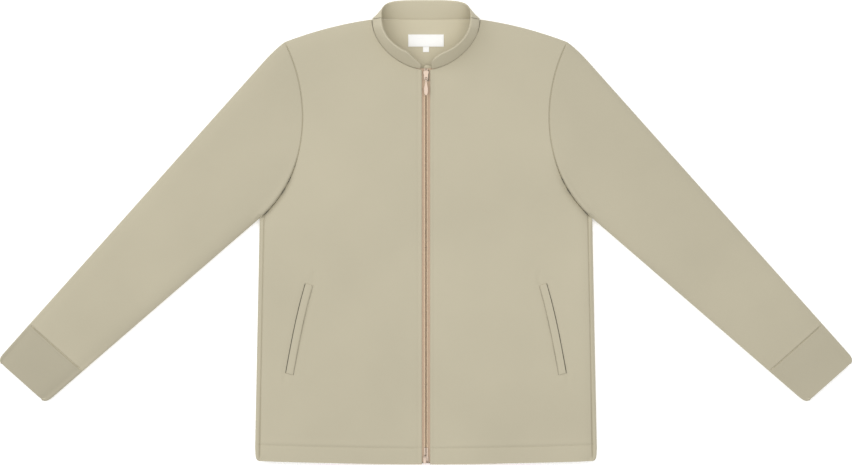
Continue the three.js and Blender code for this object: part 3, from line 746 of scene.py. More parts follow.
class JacketStage(bpy.types.PropertyGroup):
    view_width: length_property("View width", "Width that the camera sees at the jacket", 1.3632, 0.5, 4)
    lens: bpy.props.FloatProperty(
        name="Lens", description="The camera's focal length", default=100, min=35, max=200,
        subtype="DISTANCE_CAMERA",
    )
    world_light: bpy.props.FloatProperty(
        name="Surrounding light", description="Strength of the light from all round", default=0.62, min=0, max=4
    )
    key_light: bpy.props.FloatProperty(
        name="Overhead light", description="Power of the large light overhead", default=62, min=0, max=1000,
        subtype="POWER",
    )


def read(name):
    return getattr(bpy.context.scene, name)


# ---------------------------------------------------------------- the shell


def body_outer_line():
    """Side seam, then the armhole up to the shoulder: the outer edge of a front."""
    cut = next(i for i in range(len(ARMHOLE) - 1, 0, -1) if ARMHOLE[i, 0] < UNDERARM[0] - SIDE_SEAM_INSET)
    up = ARMHOLE[cut::-1]
    share = (UNDERARM[0] - SIDE_SEAM_INSET - ARMHOLE[cut, 0]) / (ARMHOLE[cut + 1, 0] - ARMHOLE[cut, 0])
    corner = ARMHOLE[cut] + share * (ARMHOLE[cut + 1] - ARMHOLE[cut])
    return chain(SIDE_SEAM[:-1], corner[None], up), corner


def front_lines():
    t = np.linspace(0, 1, 80)
    seam = neck_seam(t)
    start = np.interp(FRONT_EDGE, seam[:, 0], t)
    seam = neck_seam(np.linspace(start, 1, 60))
    inner = chain(point(FRONT_EDGE, hem_y(FRONT_EDGE))[None], seam)
    outer, _ = body_outer_line()
    hem = hem_line(FRONT_EDGE, outer[0, 0], 40)
    hem[-1] = outer[0]
    return hem, SHOULDER_LINE, inner, outer


HEM_ROWS = tuple(
    HEM_DEPTH + d for d in (-0.0042, -0.0028, -0.0016, -0.0008, 0, 0.0008, 0.0016, 0.0028, 0.0042, 0.0065)
)


class JACKET_OT_fronts(bpy.types.Operator):
    """The two fronts, each from the zip to the side seam and the armhole"""

    bl_idname = "jacket.fronts"
    bl_label = "Fronts"

    def execute(self, context):
        cloth = read("jacket_cloth")
        hem, shoulder, inner, outer = front_lines()
        neck_share = (inner[1][1] - inner[0][1]) / lengths(inner)[-1]
        _, corner = body_outer_line()
        at = np.argmin(np.linalg.norm(outer - corner, axis=1))
        arm_share = lengths(outer)[at] / lengths(outer)[-1]
        us = spaced(0.262, cloth.step)
        vs = spaced(lengths(inner)[-1], cloth.step, start=FINE[:10] + HEM_ROWS, extra=(neck_share, arm_share))
        net = coons(hem, shoulder, inner, outer, us, vs)
        full = lifted(net, lambda p: top_height(p, cloth))
        # the folded edge beside the zip turns down
        roll = swell(np.clip((net[..., 0] - FRONT_EDGE) / 0.0022, 0, 1))
        full[..., 2] -= 0.0009 * (1 - roll) * (net[..., 1] < FRONT_NECK_Y + 0.002)
        downs = np.linspace(0, WELT_LENGTH, 6)
        slits = [
            [pocket_point(*at) for at in ((start, a), (start, b), (start + width, b), (start + width, a))]
            for start, width in ((0, SLIT), (-WELT_WIDTH - WELT_DITCH, WELT_DITCH))
            for a, b in zip(downs[:-1], downs[1:])
        ]
        for side, sign in SIDES:
            shape, flat = on_side(sign, full, net)
            holes = [[point(sign * c[0], c[1]) for c in slit] for slit in slits]
            made = cloth_piece(f"{side}_front_cloth", [shape], [flat], cloth.thickness, twill(), cuts=holes)
            bend_at_fold(made)
            sewn(made, None, (f"{side}_front_side", f"{side}_front"), (0.27, 0.72), "back_cloth", area=0.166)
        return {"FINISHED"}


class JACKET_OT_back(bpy.types.Operator):
    """The back, which wraps round both sides to the side seams, and its neck facing"""

    bl_idname = "jacket.back"
    bl_label = "Back"

    def execute(self, context):
        cloth = read("jacket_cloth")
        edge = chain(SIDE, ARMHOLE[::-1])
        arm_share = lengths(SIDE)[-1] / lengths(edge)[-1]
        left = edge * point(-1, 1)
        hem = hem_line(-SIDE[0, 0], SIDE[0, 0], 60)
        hem[0], hem[-1] = left[0], edge[0]
        top = chain((SHOULDER_LINE * point(-1, 1))[::-1], SHOULDER_LINE)
        us = spaced(0.54, 1.3 * cloth.step)
        vs = spaced(lengths(edge)[-1], 1.3 * cloth.step, start=FINE[:10] + HEM_ROWS, extra=(arm_share,))
        net = coons(hem, top, left, edge, us, vs)
        # the neck edge runs up a little under the collar
        at_neck = smooth(net[..., 1], NECK_Y - 0.01, NECK_Y)
        net[..., 1] += 0.0011 * (1 - smooth(np.abs(net[..., 0]), 0.078, 0.086)) * at_neck
        under = lifted(net, under_height)
        nets, flats = [under[:, ::-1]], [net[:, ::-1]]
        rows = vs[vs <= arm_share + 1e-9]
        edge_points = along(edge, rows)
        _, corner = body_outer_line()
        climb = (corner[1] - UNDERARM[1]) / SIDE_SEAM_INSET
        insets = np.array([0, 0.00025, 0.0007, 0.0014, 0.0024, 0.0036, 0.005, 0.0062, 0.007])
        share = ((edge_points[:, 1] - edge_points[0, 1]) / (UNDERARM[1] - edge_points[0, 1]))[:, None]
        seam_x = np.interp(edge_points[:, 1], SIDE_SEAM[:, 1], SIDE_SEAM[:, 0])
        to_seam = ((edge_points[:, 0] - seam_x) / SIDE_SEAM_INSET)[:, None]
        inwards, upwards = edge_points[:, :1] - to_seam * insets, edge_points[:, 1:] + share * climb * insets
        strip = np.stack([inwards, upwards], axis=-1)
        over = lifted(strip, lambda p: top_height(p, cloth))
        over[:, 0, 2] = EDGE_Z
        unrolled = strip.copy()
        unrolled[..., 0] = edge_points[:, :1] + to_seam * insets
        nets += [over[:, ::-1], other_side(over[:, ::-1])]
        flats += [unrolled[:, ::-1], other_side(unrolled[:, ::-1])]
        made = cloth_piece("back_cloth", nets, flats, cloth.thickness, twill())
        sewn(made, "shell", ("back_panel",), (0.56, 0.72), "floor", area=0.37)
        self.neck_facing()
        return {"FINISHED"}

    def neck_facing(self):
        half, top = high("back_neck_facing", X), high("back_neck_facing", Y)
        depth = top - low("back_neck_facing", Y)
        t = np.linspace(0, 1, 60)
        side, handle = top - 0.012, top - depth * 4 / 3
        lower = cubic(point(-half, side), point(-half, handle), point(half, handle), point(half, side), t)
        upper = np.stack([np.linspace(-half, half, 40), np.full(40, top)], axis=1)
        us = spaced(2 * half, 0.005)
        vs = spaced(depth, 0.005, start=FINE[:7], end=FINE[:4])
        lines = [np.linspace(a, b, 12) for a, b in ((lower[0], upper[0]), (lower[-1], upper[-1]))]
        net = coons(lower, upper, lines[0], lines[1], us, vs)
        net[..., 1] += 0.0013 * smooth(net[..., 1], NECK_Y - 0.01, NECK_Y)
        rest = high("back_neck_facing", Z)
        shape = lifted(net, lambda p: under_height(p) + rest)
        shape[0, :, 2] -= 0.0003
        made = cloth_piece("back_neck_facing_cloth", [shape], [net], 0.0007, lining())
        sewn(made, "shell", ("back_neck_facing",), (0.168, 0.107), "back_cloth", area=0.0149)


def tube(lines, us_across, shares, cloth):
    """A closed net round a flattened sleeve, and its flat layout."""
    across_start, across_end, outer, inner = lines
    net = coons(across_start, across_end, outer, inner, us_across, shares)
    ends = np.zeros(net.shape[:2], bool)
    ends[:, 0] = ends[:, -1] = True
    flat = net.reshape(-1, 2)
    forced = ends.reshape(-1)
    over = raised(net, top_height(flat, cloth, forced).reshape(net.shape[:2]))
    under = raised(net, under_height(flat, forced).reshape(net.shape[:2]))
    layout = np.stack([(net - SHOULDER) @ ACROSS, (net - SHOULDER) @ SLEEVE_WAY], axis=-1)
    ring = np.concatenate([over, under[:, -2:0:-1]], axis=1)
    turned = layout[:, -2:0:-1].copy()
    turned[..., 0] = 2 * layout[:, -1:, 0] - turned[..., 0]
    return ring, np.concatenate([layout, turned], axis=1)


class JACKET_OT_sleeves(bpy.types.Operator):
    """The two sleeves, from the armhole to the cuff seam"""

    bl_idname = "jacket.sleeves"
    bl_label = "Sleeves"

    def execute(self, context):
        cloth = read("jacket_cloth")
        seam_at = (CUFF_SEAM[0] - SHOULDER) @ SLEEVE_WAY
        outer = chain(OUTER_SLEEVE[:-1], CUFF_SEAM[:1])
        inner = chain(UNDERARM[None], CUFF_SEAM[1:])
        along_shares = spaced(seam_at, cloth.step)
        across_shares = spaced(0.27, cloth.step)
        ring, layout = tube((ARMHOLE, CUFF_SEAM, outer, inner), across_shares, along_shares, cloth)
        for side, sign in SIDES:
            shape, flat = on_side(sign, ring, layout)
            # the sleeves get a slightly darker copy of the twill: painted shade
            finish = twill(0.0, "twill_sleeve", 0.985)
            made = cloth_piece(f"{side}_sleeve_cloth", [shape], [flat], cloth.thickness, finish, closed=True)
            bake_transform(made)
            sewn(made, None, (f"{side}_sleeve_head", f"{side}_sleeve"), (0.33, 0.61), "floor", area=0.167)
        return {"FINISHED"}


class JACKET_OT_cuffs(bpy.types.Operator):
    """The cuffs and their inner layers"""

    bl_idname = "jacket.cuffs"
    bl_label = "Cuffs"

    def execute(self, context):
        cloth = read("jacket_cloth")
        ends = cuff_line(0)
        across = spaced(CUFF_WIDTH, cloth.step)
        shares = spaced(CUFF_LENGTH, cloth.step, end=FINE[:9])
        outer = np.stack([CUFF_SEAM[0], ends[0]])
        inner = np.stack([CUFF_SEAM[1], ends[1]])
        ring, layout = tube((CUFF_SEAM, ends, outer, inner), across, shares, cloth)
        self.round_corners(ring, shares)
        facing = self.inner_layer(ring)
        for side, sign in SIDES:
            outside, inside, flat = on_side(sign, ring, facing, layout)
            # the cuffs get darker copies of the twill, the right cuff darker than the left: painted shade
            finish = twill(math.pi / 2, f"twill_{side}_cuff", 0.965 if sign > 0 else 0.925)
            made = cloth_piece(f"{side}_cuff_cloth", [outside], [flat], cloth.thickness, finish, closed=True)
            sewn(made, f"{side}_sleeve", (f"{side}_cuff",), (0.22, CUFF_LENGTH), "floor")
            made = cloth_piece(
                f"{side}_cuff_lining", [inside], [flat], cloth.facing_thickness, lining(), closed=True
            )
            sewn(made, f"{side}_sleeve", (f"{side}_cuff_facing",), (0.21, CUFF_LENGTH), f"{side}_cuff_cloth")
        return {"FINISHED"}

    def round_corners(self, ring, shares):
        """Draws the two corners of the cuff's end in."""
        from_end = (1 - shares) * CUFF_LENGTH
        draw = CUFF_CORNER * (1 - swell(from_end / (2.0 * CUFF_CORNER)))
        middle = (cuff_line(0)[0] + cuff_line(0)[1]) / 2
        side = (ring[..., :2] - middle) @ ACROSS / (CUFF_WIDTH / 2)
        shift = -np.sign(side) * draw[:, None] * np.clip((np.abs(side) - 0.55) / 0.45, 0, 1) ** 2
        ring[..., :2] += shift[..., None] * ACROSS

    def inner_layer(self, ring):
        """The same ring drawn in by the shell's thickness."""
        centre = ring.mean(axis=1, keepdims=True)
        inner = ring.copy()
        across = (ring[..., :2] - centre[..., :2]) @ ACROSS
        half = np.abs(across).max(axis=1, keepdims=True)
        inner[..., :2] -= (across * 0.0022 / half)[..., None] * ACROSS
        inner[..., 2] = centre[..., 2] + (ring[..., 2] - centre[..., 2]) * 0.80
        inner[..., :2] -= 0.0011 * SLEEVE_WAY
        return inner


class JACKET_OT_facings(bpy.types.Operator):
    """The facings behind the two front edges"""

    bl_idname = "jacket.facings"
    bl_label = "Front facings"

    def execute(self, context):
        cloth = read("jacket_cloth")
        near, far = low("left_front_facing", X), high("left_front_facing", X)
        seam = neck_seam(np.linspace(0, 1, 90), -0.0004)
        lower = hem_line(near, far, 40, 0.0006)
        upper = np.stack([lower[:, 0], np.interp(lower[:, 0], seam[:, 0], seam[:, 1])], axis=1)
        sides = [np.linspace(lower[k], upper[k], 8) for k in (0, -1)]
        us = spaced(far - near, 0.006, start=FINE[:6], end=FINE[:6])
        vs = spaced(0.64, 0.006, start=FINE[:6], end=FINE[:6])
        net = coons(lower, upper, sides[0], sides[1], us, vs)
        drop = LOFT - high("left_front_facing", Z)
        shape = lifted(net, lambda p: top_height(p, cloth) - drop)
        for side, sign in SIDES:
            form, flat = on_side(sign, shape, net)
            made = cloth_piece(f"{side}_front_lining", [form], [flat], cloth.facing_thickness, lining())
            sewn(made, f"{side}_front", (f"{side}_front_facing",), (0.062, 0.65), "back_cloth")
        return {"FINISHED"}


# ---------------------------------------------------------------- collar

COLLAR_HEIGHT = 0.032
COLLAR_LEAN = 0.016
COLLAR_SEAT = 0.002
COLLAR_LAYER = 0.0014
COLLAR_REACH = 0.031


def collar_frame(seam, top, tangent, foot_height, share):
    """Foot, head and outward direction at each place along the band."""
    flat = np.minimum(np.linalg.norm(top - seam, axis=1), COLLAR_HEIGHT)
    rise = np.sqrt(COLLAR_HEIGHT**2 - flat**2)
    foot = np.column_stack([seam, foot_height])
    head = foot + (np.column_stack([top, foot_height + rise]) - foot) * share[:, None]
    way = np.column_stack([tangent, np.zeros(len(seam))])
    outwards = np.cross(way, head - foot)
    outwards /= np.linalg.norm(outwards, axis=1)[:, None]
    return foot, head, outwards


def tangents(line):
    way = np.gradient(line, axis=0)
    return way / np.linalg.norm(way, axis=1)[:, None]


def front_collar(corner_share, straightness, count=70):
    t = np.linspace(0, 1, count)
    t = np.unique(np.concatenate([t, [0.004, 0.01, 0.018, 0.028, 0.04, 0.055]]))
    at = 0.075 + (1 - 0.075) * t
    seam = neck_seam(at, COLLAR_SEAT)
    lean = NECK_HALF - COLLAR_LEAN
    top_y = FRONT_NECK_Y + 0.0205
    top = cubic(
        point(FRONT_EDGE, top_y),
        point(0.56 * lean, top_y + COLLAR_LEAN / 3),
        point(lean, NECK_Y - 0.43 * NECK_DEPTH),
        point(lean, NECK_Y),
        t,
    )
    clear = np.column_stack([np.zeros(len(t)), -GAP * t])
    drop = smooth(seam[:, 1], NECK_Y - LOFT, NECK_Y)
    foot = LOFT + (EDGE_Z + 0.0016 - LOFT) * drop
    corner = np.minimum(t / corner_share, 1)
    round_rise, straight_rise = np.sqrt(1 - (1 - corner) ** 2), 1 - (1 - corner) ** 1.25
    share = 0.3 + 0.7 * ((1 - straightness) * round_rise + straightness * straight_rise)
    return collar_frame(seam + clear, top + clear, tangents(seam), foot, share)


def back_collar(count=61):
    t = np.linspace(0, 1, count)
    neck, lean = NECK_HALF - COLLAR_SEAT, NECK_HALF - COLLAR_LEAN
    behind = NECK_Y + GAP + COLLAR_SEAT / 2
    reach = NECK_Y + COLLAR_REACH - COLLAR_LAYER / 2
    start = NECK_Y + GAP
    seam = cubic(
        point(neck, start), point(neck, behind + COLLAR_SEAT), point(0.8 * neck, behind), point(0, behind), t
    )
    top = cubic(
        point(lean, start), point(lean, reach - 0.001), point(0.84 * lean, reach + 0.0003), point(0, reach), t
    )
    rise = smooth(1 - t, 0.5, 1)
    foot = COLLAR_LAYER + 2 * GAP + (EDGE_Z + 0.0016 - COLLAR_LAYER - 2 * GAP) * rise
    across = point(-1, 1)
    seam = np.vstack([seam, seam[-2::-1] * across])
    top = np.vstack([top, top[-2::-1] * across])
    foot = np.concatenate([foot, foot[-2::-1]])
    return collar_frame(seam, top, tangents(seam), foot, np.ones(len(seam)))


BAND_ROWS = np.array(
    [0, 0.03, 0.07, 0.12, 0.2, 0.3, 0.42, 0.54, 0.66, 0.76, 0.84, 0.9, 0.94, 0.965, 0.985, 1.0]
)


def band(name, stations, sign, near, far, material):
    """One layer of the collar, thick at its foot and rolled over at its top."""
    foot, head, outwards = stations
    size = np.linalg.norm(head - foot, axis=1)[:, None]
    h = BAND_ROWS[None, :]
    left = (1 - h) * size
    roll = swell(left / 0.0018)
    belly = 0.0004 * np.sin(np.pi * h) * np.ones_like(size)
    pinch = -0.0003 * np.exp(-((h * size / 0.0012) ** 2))
    way = np.sign(far)
    thick = (abs(far) - abs(near)) * (0.25 + 0.75 * roll) + (belly + pinch) * roll
    outer = way * (abs(near) + thick)
    inner = way * (abs(near) * np.ones_like(outer))
    spine = foot[:, None] + (head - foot)[:, None] * h[..., None]
    out_side = spine + outwards[:, None] * outer[..., None]
    in_side = spine + outwards[:, None] * inner[..., None]
    ring = np.concatenate([out_side, in_side[:, ::-1]], axis=1)
    run = np.broadcast_to(lengths(foot)[:, None], ring.shape[:2])
    layout = np.stack([run, np.concatenate([h * size, (h * size)[:, ::-1]], axis=1)], axis=-1)
    if way > 0:
        ring, layout = ring[:, ::-1], layout[:, ::-1]
    ring, layout = on_side(sign, ring, layout)
    rows, columns = ring.shape[:2]
    faces = [tuple(f) for f in net_faces(rows, columns, True)]
    faces.append(tuple(range(columns))[::-1])
    faces.append(tuple((rows - 1) * columns + k for k in range(columns)))
    made = new_object(name, ring.reshape(-1, 3), faces, layout.reshape(-1, 2))
    only(made)
    bpy.ops.object.mode_set(mode="EDIT")
    bpy.ops.mesh.select_all(action="SELECT")
    bpy.ops.mesh.normals_make_consistent(inside=False)
    bpy.ops.object.mode_set(mode="OBJECT")
    shade(made, 60)
    made.data.materials.append(material)
    return made


class JACKET_OT_collar(bpy.types.Operator):
    """The band collar: an outer layer and a facing on each front and round the back neck"""

    bl_idname = "jacket.collar"
    bl_label = "Collar"

    def execute(self, context):
        outer, inner = (GAP / 2, GAP / 2 + COLLAR_LAYER), (-GAP / 2, -GAP / 2 - COLLAR_LAYER)
        stations = back_collar()
        made = band("back_collar_cloth", stations, 1, *outer, collar_twill())
        sewn(made, "shell", ("back_collar",), (0.19, 0.034), "back_cloth")
        made = band("back_collar_lining", stations, 1, *inner, lining())
        sewn(made, "shell", ("back_collar_facing",), (0.185, 0.034), "back_collar_cloth")
        for side, sign in SIDES:
            stations = front_collar(0.22, 0.15) if sign > 0 else front_collar(0.25, 0.9)
            name, body = f"{side}_collar", f"{side}_front"
            made = band(f"{name}_cloth", stations, sign, *outer, collar_twill())
            sewn(made, body, (name,), (0.125, 0.033), f"{side}_front_cloth", area=0.0034)
            made = band(f"{name}_lining", stations, sign, *inner, lining())
            sewn(made, body, (f"{name}_facing",), (0.12, 0.033), f"{name}_cloth", area=0.0033)
        return {"FINISHED"}


# ---------------------------------------------------------------- pockets and labels


def patch(corners, rows, columns):
    """A net in plan over four corners: start, end of the first side, then round."""
    a, b, c, d = (np.asarray(p, float) for p in corners)
    u, v = columns[None, :, None], rows[:, None, None]
    return (1 - v) * ((1 - u) * a + u * b) + v * ((1 - u) * d + u * c)


def oblong(x0, x1, y0, y1, rows, columns):
    return patch([(x0, y0), (x1, y0), (x1, y1), (x0, y1)], rows, columns)


class JACKET_OT_pockets(bpy.types.Operator):
    """The slanted welts and the bags behind them"""

    bl_idname = "jacket.pockets"
    bl_label = "Pockets"

    def execute(self, context):
        cloth = read("jacket_cloth")
        columns = spaced(WELT_WIDTH, 0.0015, start=FINE[:5], end=FINE[:5])
        rows = spaced(WELT_LENGTH, 0.004, start=FINE[:6], end=FINE[:6])
        net = np.array(
            [[pocket_point((c - 1) * WELT_WIDTH, (1 - r) * WELT_LENGTH) for c in columns] for r in rows]
        )
        ends = np.minimum(rows, 1 - rows)[:, None] * WELT_LENGTH
        draw = 0.0035 * (1 - swell(ends / 0.005)) * (1 - columns[None, :])
        net += draw[..., None] * POCKET_OUT * (rows > 0.5)[:, None, None]
        base = lifted(net, lambda p: top_height(p, cloth))
        u, v = columns[None, :] * WELT_WIDTH, rows[:, None] * WELT_LENGTH
        # sewn down on its inner edge and both ends, and free and rolled on its outer edge
        crown = swell(np.minimum(u / 0.0025, 1)) * swell(np.minimum(np.minimum(v, WELT_LENGTH - v) / 0.0022, 1))
        lip = swell(np.minimum((WELT_WIDTH - u) / 0.0009, 1))
        rolled = crown * mound(WELT_WIDTH - u, 0.0003, 0.002)
        base[..., 2] += 0.0004 + 0.0013 * crown * (0.55 + 0.45 * lip) + rolled
        for side, sign in SIDES:
            form, flat = on_side(sign, base, net)
            finish = twill(POCKET_SLANT, "twill_welt")
            made = cloth_piece(f"{side}_pocket_welt_cloth", [form], [flat], 0.0006, finish)
            sewn(made, "shell", (f"{side}_pocket_welt",), (WELT_WIDTH, WELT_LENGTH), f"{side}_front_cloth")
            self.bag(side, sign)
        return {"FINISHED"}

    def bag(self, side, sign):
        """A flat bag with round edges, open at its top beside the welt."""
        bottom, top = low("left_pocket_bag", Z), high("left_pocket_bag", Z)
        half = (top - bottom) / 2
        width, length = BAG_INNER + BAG_OUTER, WELT_LENGTH + 2 * BAG_PAST
        start, end = -BAG_PAST, WELT_LENGTH + BAG_PAST
        corners = [
            pocket_point(*at)
            for at in ((-BAG_INNER, end), (BAG_OUTER, end), (BAG_OUTER, start), (-BAG_INNER, start))
        ]
        columns = spaced(width, 0.005, start=FINE[:9], end=FINE[:9])
        rows = spaced(length, 0.005, start=FINE[:9], end=FINE[:9])
        net = patch(corners, rows, columns)
        u, v = columns[None, :] * width, rows[:, None] * length
        inset = np.minimum(np.minimum(u, width - u), np.minimum(v, length - v))
        puff = half * swell(inset / 0.011)
        over, under = raised(net, bottom + half + puff), raised(net, bottom + half - puff)[:, ::-1]
        down = (0.001, WELT_LENGTH - 0.001)
        hole = [pocket_point(*at) for at in ((0, down[0]), (0, down[1]), (0.005, down[1]), (0.005, down[0]))]
        made = cloth_piece(
            f"{side}_pocket_bag_cloth", on_side(sign, over, under), on_side(sign, net, net[:, ::-1]), 0.0006,
            pocketing(), cuts=[[point(sign * c[0], c[1]) for c in hole]], even=False, spread=1.0,
            above=bottom + 0.0042,
        )
        sewn(
            made, "shell", (f"{side}_pocket_bag",), (0.198, 0.163), "back_cloth",
            held="folded", slot="pocketing",
        )


class JACKET_OT_labels(bpy.types.Operator):
    """The blank woven label inside the back neck, and the small tab under it"""

    bl_idname = "jacket.labels"
    bl_label = "Labels"

    def execute(self, context):
        for name, source, body, curl in (
            ("neck_label_cloth", "neck_label", "shell", 0.0004),
            ("size_tab_cloth", "size_tab", "size_tab", 0.0002),
        ):
            lo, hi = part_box(source)
            columns = spaced(hi.x - lo.x, 0.002, start=FINE[:5], end=FINE[:5])
            rows = spaced(hi.y - lo.y, 0.0015, start=FINE[:5], end=FINE[:5])
            net = oblong(lo.x, hi.x, lo.y, hi.y, rows, columns)
            u, v = columns[None, :], rows[:, None]
            z = hi.z + curl * np.sin(np.pi * u) * (1 - v) * 0.8 + curl * 0.5 * np.sin(2.2 * np.pi * v)
            made = cloth_piece(name, [raised(net, z)], [net], 0.00035, label_cloth())
            finish_piece(made, body, (source,))
        lo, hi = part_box("neck_label")
        return {"FINISHED"}


# ---------------------------------------------------------------- zip


class JACKET_OT_zip_tapes(bpy.types.Operator):
    """The woven tapes and the guard behind them"""

    bl_idname = "jacket.zip_tapes"
    bl_label = "Zip tapes and guard"

    def execute(self, context):
        for side, sign in SIDES:
            source = f"{side}_zip_tape"
            near, far = sorted((abs(low(source, X)), abs(high(source, X))))
            y0, y1 = low(source, Y), high(source, Y)
            columns = spaced(far - near, 0.0012, start=FINE[:4], end=FINE[:4])
            slider_y = (low("slider_body", Y) - 0.0008, high("slider_body", Y) + 0.0005)
            marks = [(y - y0) / (y1 - y0) for y in slider_y] if side == "left" else []
            rows = spaced(y1 - y0, 0.004, start=FINE[:4], end=FINE[:4], extra=marks)
            net = oblong(near, far, y0, y1, rows, columns)
            if side == "left":
                # this tape is notched beside the slider, so that the slider clears it
                clear = high("slider_body", X) + GAP - near
                beside = (net[..., 1] >= slider_y[0] - 1e-6) & (net[..., 1] <= slider_y[1] + 1e-6)
                net[..., 0] = np.where(beside, near + clear + columns * (far - near - clear), net[..., 0])
            inset = net[..., 0] - near
            z = TAPE_TOP - 0.0001
            z = z - (0.00025 * (1 - swell(inset / 0.0008)) + 0.00012 * np.cos(inset / 0.0019 * 2 * np.pi))
            form, flat = on_side(sign, raised(net, z), net)
            made = cloth_piece(f"{side}_zip_tape_cloth", [form], [flat], 0.0006, tape_cloth())
            size, lining_name = (far - near, y1 - y0), f"{side}_front_lining"
            sewn(made, f"{side}_front", (source,), size, lining_name, slot="zip_tape")
        self.guard()
        return {"FINISHED"}

    def guard(self):
        x0, x1 = low("left_zip_tape", X) + GAP, high("zip_guard", X)
        y0, y1 = low("zip_guard", Y), high("zip_guard", Y)
        reach = -low("zip_guard", X)
        round_end = (0, 0.0004, 0.001, 0.0018, 0.0028, 0.004, 0.0052, 0.0065, 0.008, 0.0095, 0.0107, 0.0125)
        columns = spaced(x1 - x0, 0.003, start=FINE[:5], end=FINE[:5])
        rows = spaced(y1 - y0, 0.006, start=FINE[:5], end=round_end)
        net = oblong(x0, x1, y0, y1, rows, columns)
        radius = reach + x0
        middle = y1 - radius
        up = net[..., 1] - middle
        bulge = np.where(np.abs(up) < radius, np.sqrt(np.clip(radius**2 - up**2, 0, None)), 0)
        share = (net[..., 0] - x0) / (x1 - x0)
        net[..., 0] -= bulge * (1 - share) ** 3
        slope = np.clip(up / radius, 0, 1)
        net[..., 1] -= 0.006 * slope * share
        z = high("zip_guard", Z) - 0.0003 * (1 - swell((net[..., 0] - (x0 - bulge)) / 0.0015))
        made = cloth_piece("zip_guard_cloth", [raised(net, z)], [net], 0.001, lining())
        sewn(made, "left_front", ("zip_guard",), (x1 - x0, y1 - y0), "left_front_lining")


def clear_selection():
    bpy.ops.object.select_all(action="DESELECT")


def finish_hard(made, name, angle=35):
    made.name = made.data.name = name
    apply_modifiers(made)
    only(made)
    bpy.ops.object.transform_apply(location=True, rotation=True, scale=True)
    shade(made, angle)
    return made


def block(name, x, y, z):
    """A block between pairs of coordinates, as the start of a piece."""
    clear_selection()
    bpy.ops.mesh.primitive_cube_add(size=1, location=((x[0] + x[1]) / 2, (y[0] + y[1]) / 2, (z[0] + z[1]) / 2))
    made = bpy.context.object
    made.name = name
    made.scale = (x[1] - x[0], y[1] - y[0], z[1] - z[0])
    bpy.ops.object.transform_apply(location=True, rotation=True, scale=True)
    return made


def bevelled(made, width, segments=3, angle=30):
    bevel = made.modifiers.new("Rounded", "BEVEL")
    bevel.width, bevel.segments = width, segments
    bevel.limit_method, bevel.angle_limit = "ANGLE", math.radians(angle)
    return made


def edit(made, choose, kind="VERT"):
    """Goes into edit mode with only the chosen parts selected."""
    only(made)
    bpy.ops.object.mode_set(mode="EDIT")
    bpy.ops.mesh.select_mode(type=kind)
    bpy.ops.mesh.select_all(action="DESELECT")
    shape = bmesh.from_edit_mesh(made.data)
    parts = {"VERT": shape.verts, "EDGE": shape.edges, "FACE": shape.faces}[kind]
    for part in parts:
        if kind == "VERT":
            centre = part.co
        elif kind == "FACE":
            centre = part.calc_center_median()
        else:
            centre = (part.verts[0].co + part.verts[1].co) / 2
        if choose(part, centre):
            part.select_set(True)
    shape.select_flush_mode()
    bmesh.update_edit_mesh(made.data)


def leave():
    bpy.ops.object.mode_set(mode="OBJECT")


ALONG_X, ALONG_Y = (0, math.pi / 2, 0), (math.pi / 2, 0, 0)


def rod(vertices, radius, length, centre, way):
    """A round bar on its own, before its rotation is applied."""
    clear_selection()
    bpy.ops.mesh.primitive_cylinder_add(
        vertices=vertices, radius=radius, depth=length, location=centre, rotation=way
    )
    return bpy.context.object


def joined(pieces, name):
    clear_selection()
    for p in pieces:
        p.select_set(True)
    bpy.context.view_layer.objects.active = pieces[0]
    if len(pieces) > 1:
        bpy.ops.object.join()
    made = bpy.context.view_layer.objects.active
    made.name = made.data.name = name
    return made


class JACKET_OT_zip_coils(bpy.types.Operator):
    """The two coils, turn by turn, which mesh along the middle"""

    bl_idname = "jacket.zip_coils"
    bl_label = "Zip coils"

    def execute(self, context):
        setting = read("jacket_zip")
        for side, sign in SIDES:
            source = f"{side}_zip_coil"
            y0, y1 = low(source, Y), high(source, Y)
            turn, faces = self.turn(setting.wire)
            count = int((y1 - y0) / setting.coil_pitch)
            start = y0 + setting.wire / 2 + (setting.coil_pitch / 2 if sign < 0 else 0)
            at = start + setting.coil_pitch * np.arange(count)
            at = at[at < y1 - setting.wire / 2]
            points = turn[None] * np.array([sign, 1, 1]) + np.stack([0 * at, at, 0 * at], axis=1)[:, None]
            quads = faces if sign > 0 else faces[:, ::-1]
            every = (quads[None] + len(turn) * np.arange(len(at))[:, None, None]).reshape(-1, quads.shape[1])
            made = new_object(f"{side}_zip_coil_turns", points.reshape(-1, 3), every)
            shade(made, 80)
            finish_piece(made, f"{side}_front", (source,), coil_plastic())
            # the cord that the turns are wound round
            middle = (COIL_BASE + COIL_TOP) / 2
            centre = sign * (abs(low("left_zip_coil", X)) + 0.0016)
            cord = rod(8, 0.00038, y1 - y0, (centre, (y0 + y1) / 2, middle), ALONG_Y)
            cord = bevelled(cord, 0.0001, 2)
            cord = finish_hard(cord, f"{side}_zip_cord")
            finish_piece(cord, f"{side}_front", (), thread())
        return {"FINISHED"}

    def turn(self, wire):
        """One turn: a flattened ring that reaches just past the middle, from a torus."""
        clear_selection()
        bpy.ops.mesh.primitive_torus_add(
            major_segments=10, minor_segments=4, major_radius=1, minor_radius=0.3, rotation=(math.pi / 2, 0, 0.12)
        )
        ring = bpy.context.object
        bpy.ops.object.transform_apply(location=True, rotation=True, scale=True)
        co = np.array([v.co for v in ring.data.vertices], float).reshape(-1, 3)
        faces = np.array([list(p.vertices) for p in ring.data.polygons])
        bpy.data.objects.remove(ring)
        near, far = 0.0005, high("left_zip_coil", X)
        co[:, 0] = (near + far) / 2 + co[:, 0] / 1.3 * (far - near) / 2
        co[:, 2] = (COIL_BASE + COIL_TOP) / 2 + co[:, 2] / 1.3 * (COIL_TOP - COIL_BASE) / 2
        co[:, 1] *= wire / 0.6 * 0.75
        return co, faces


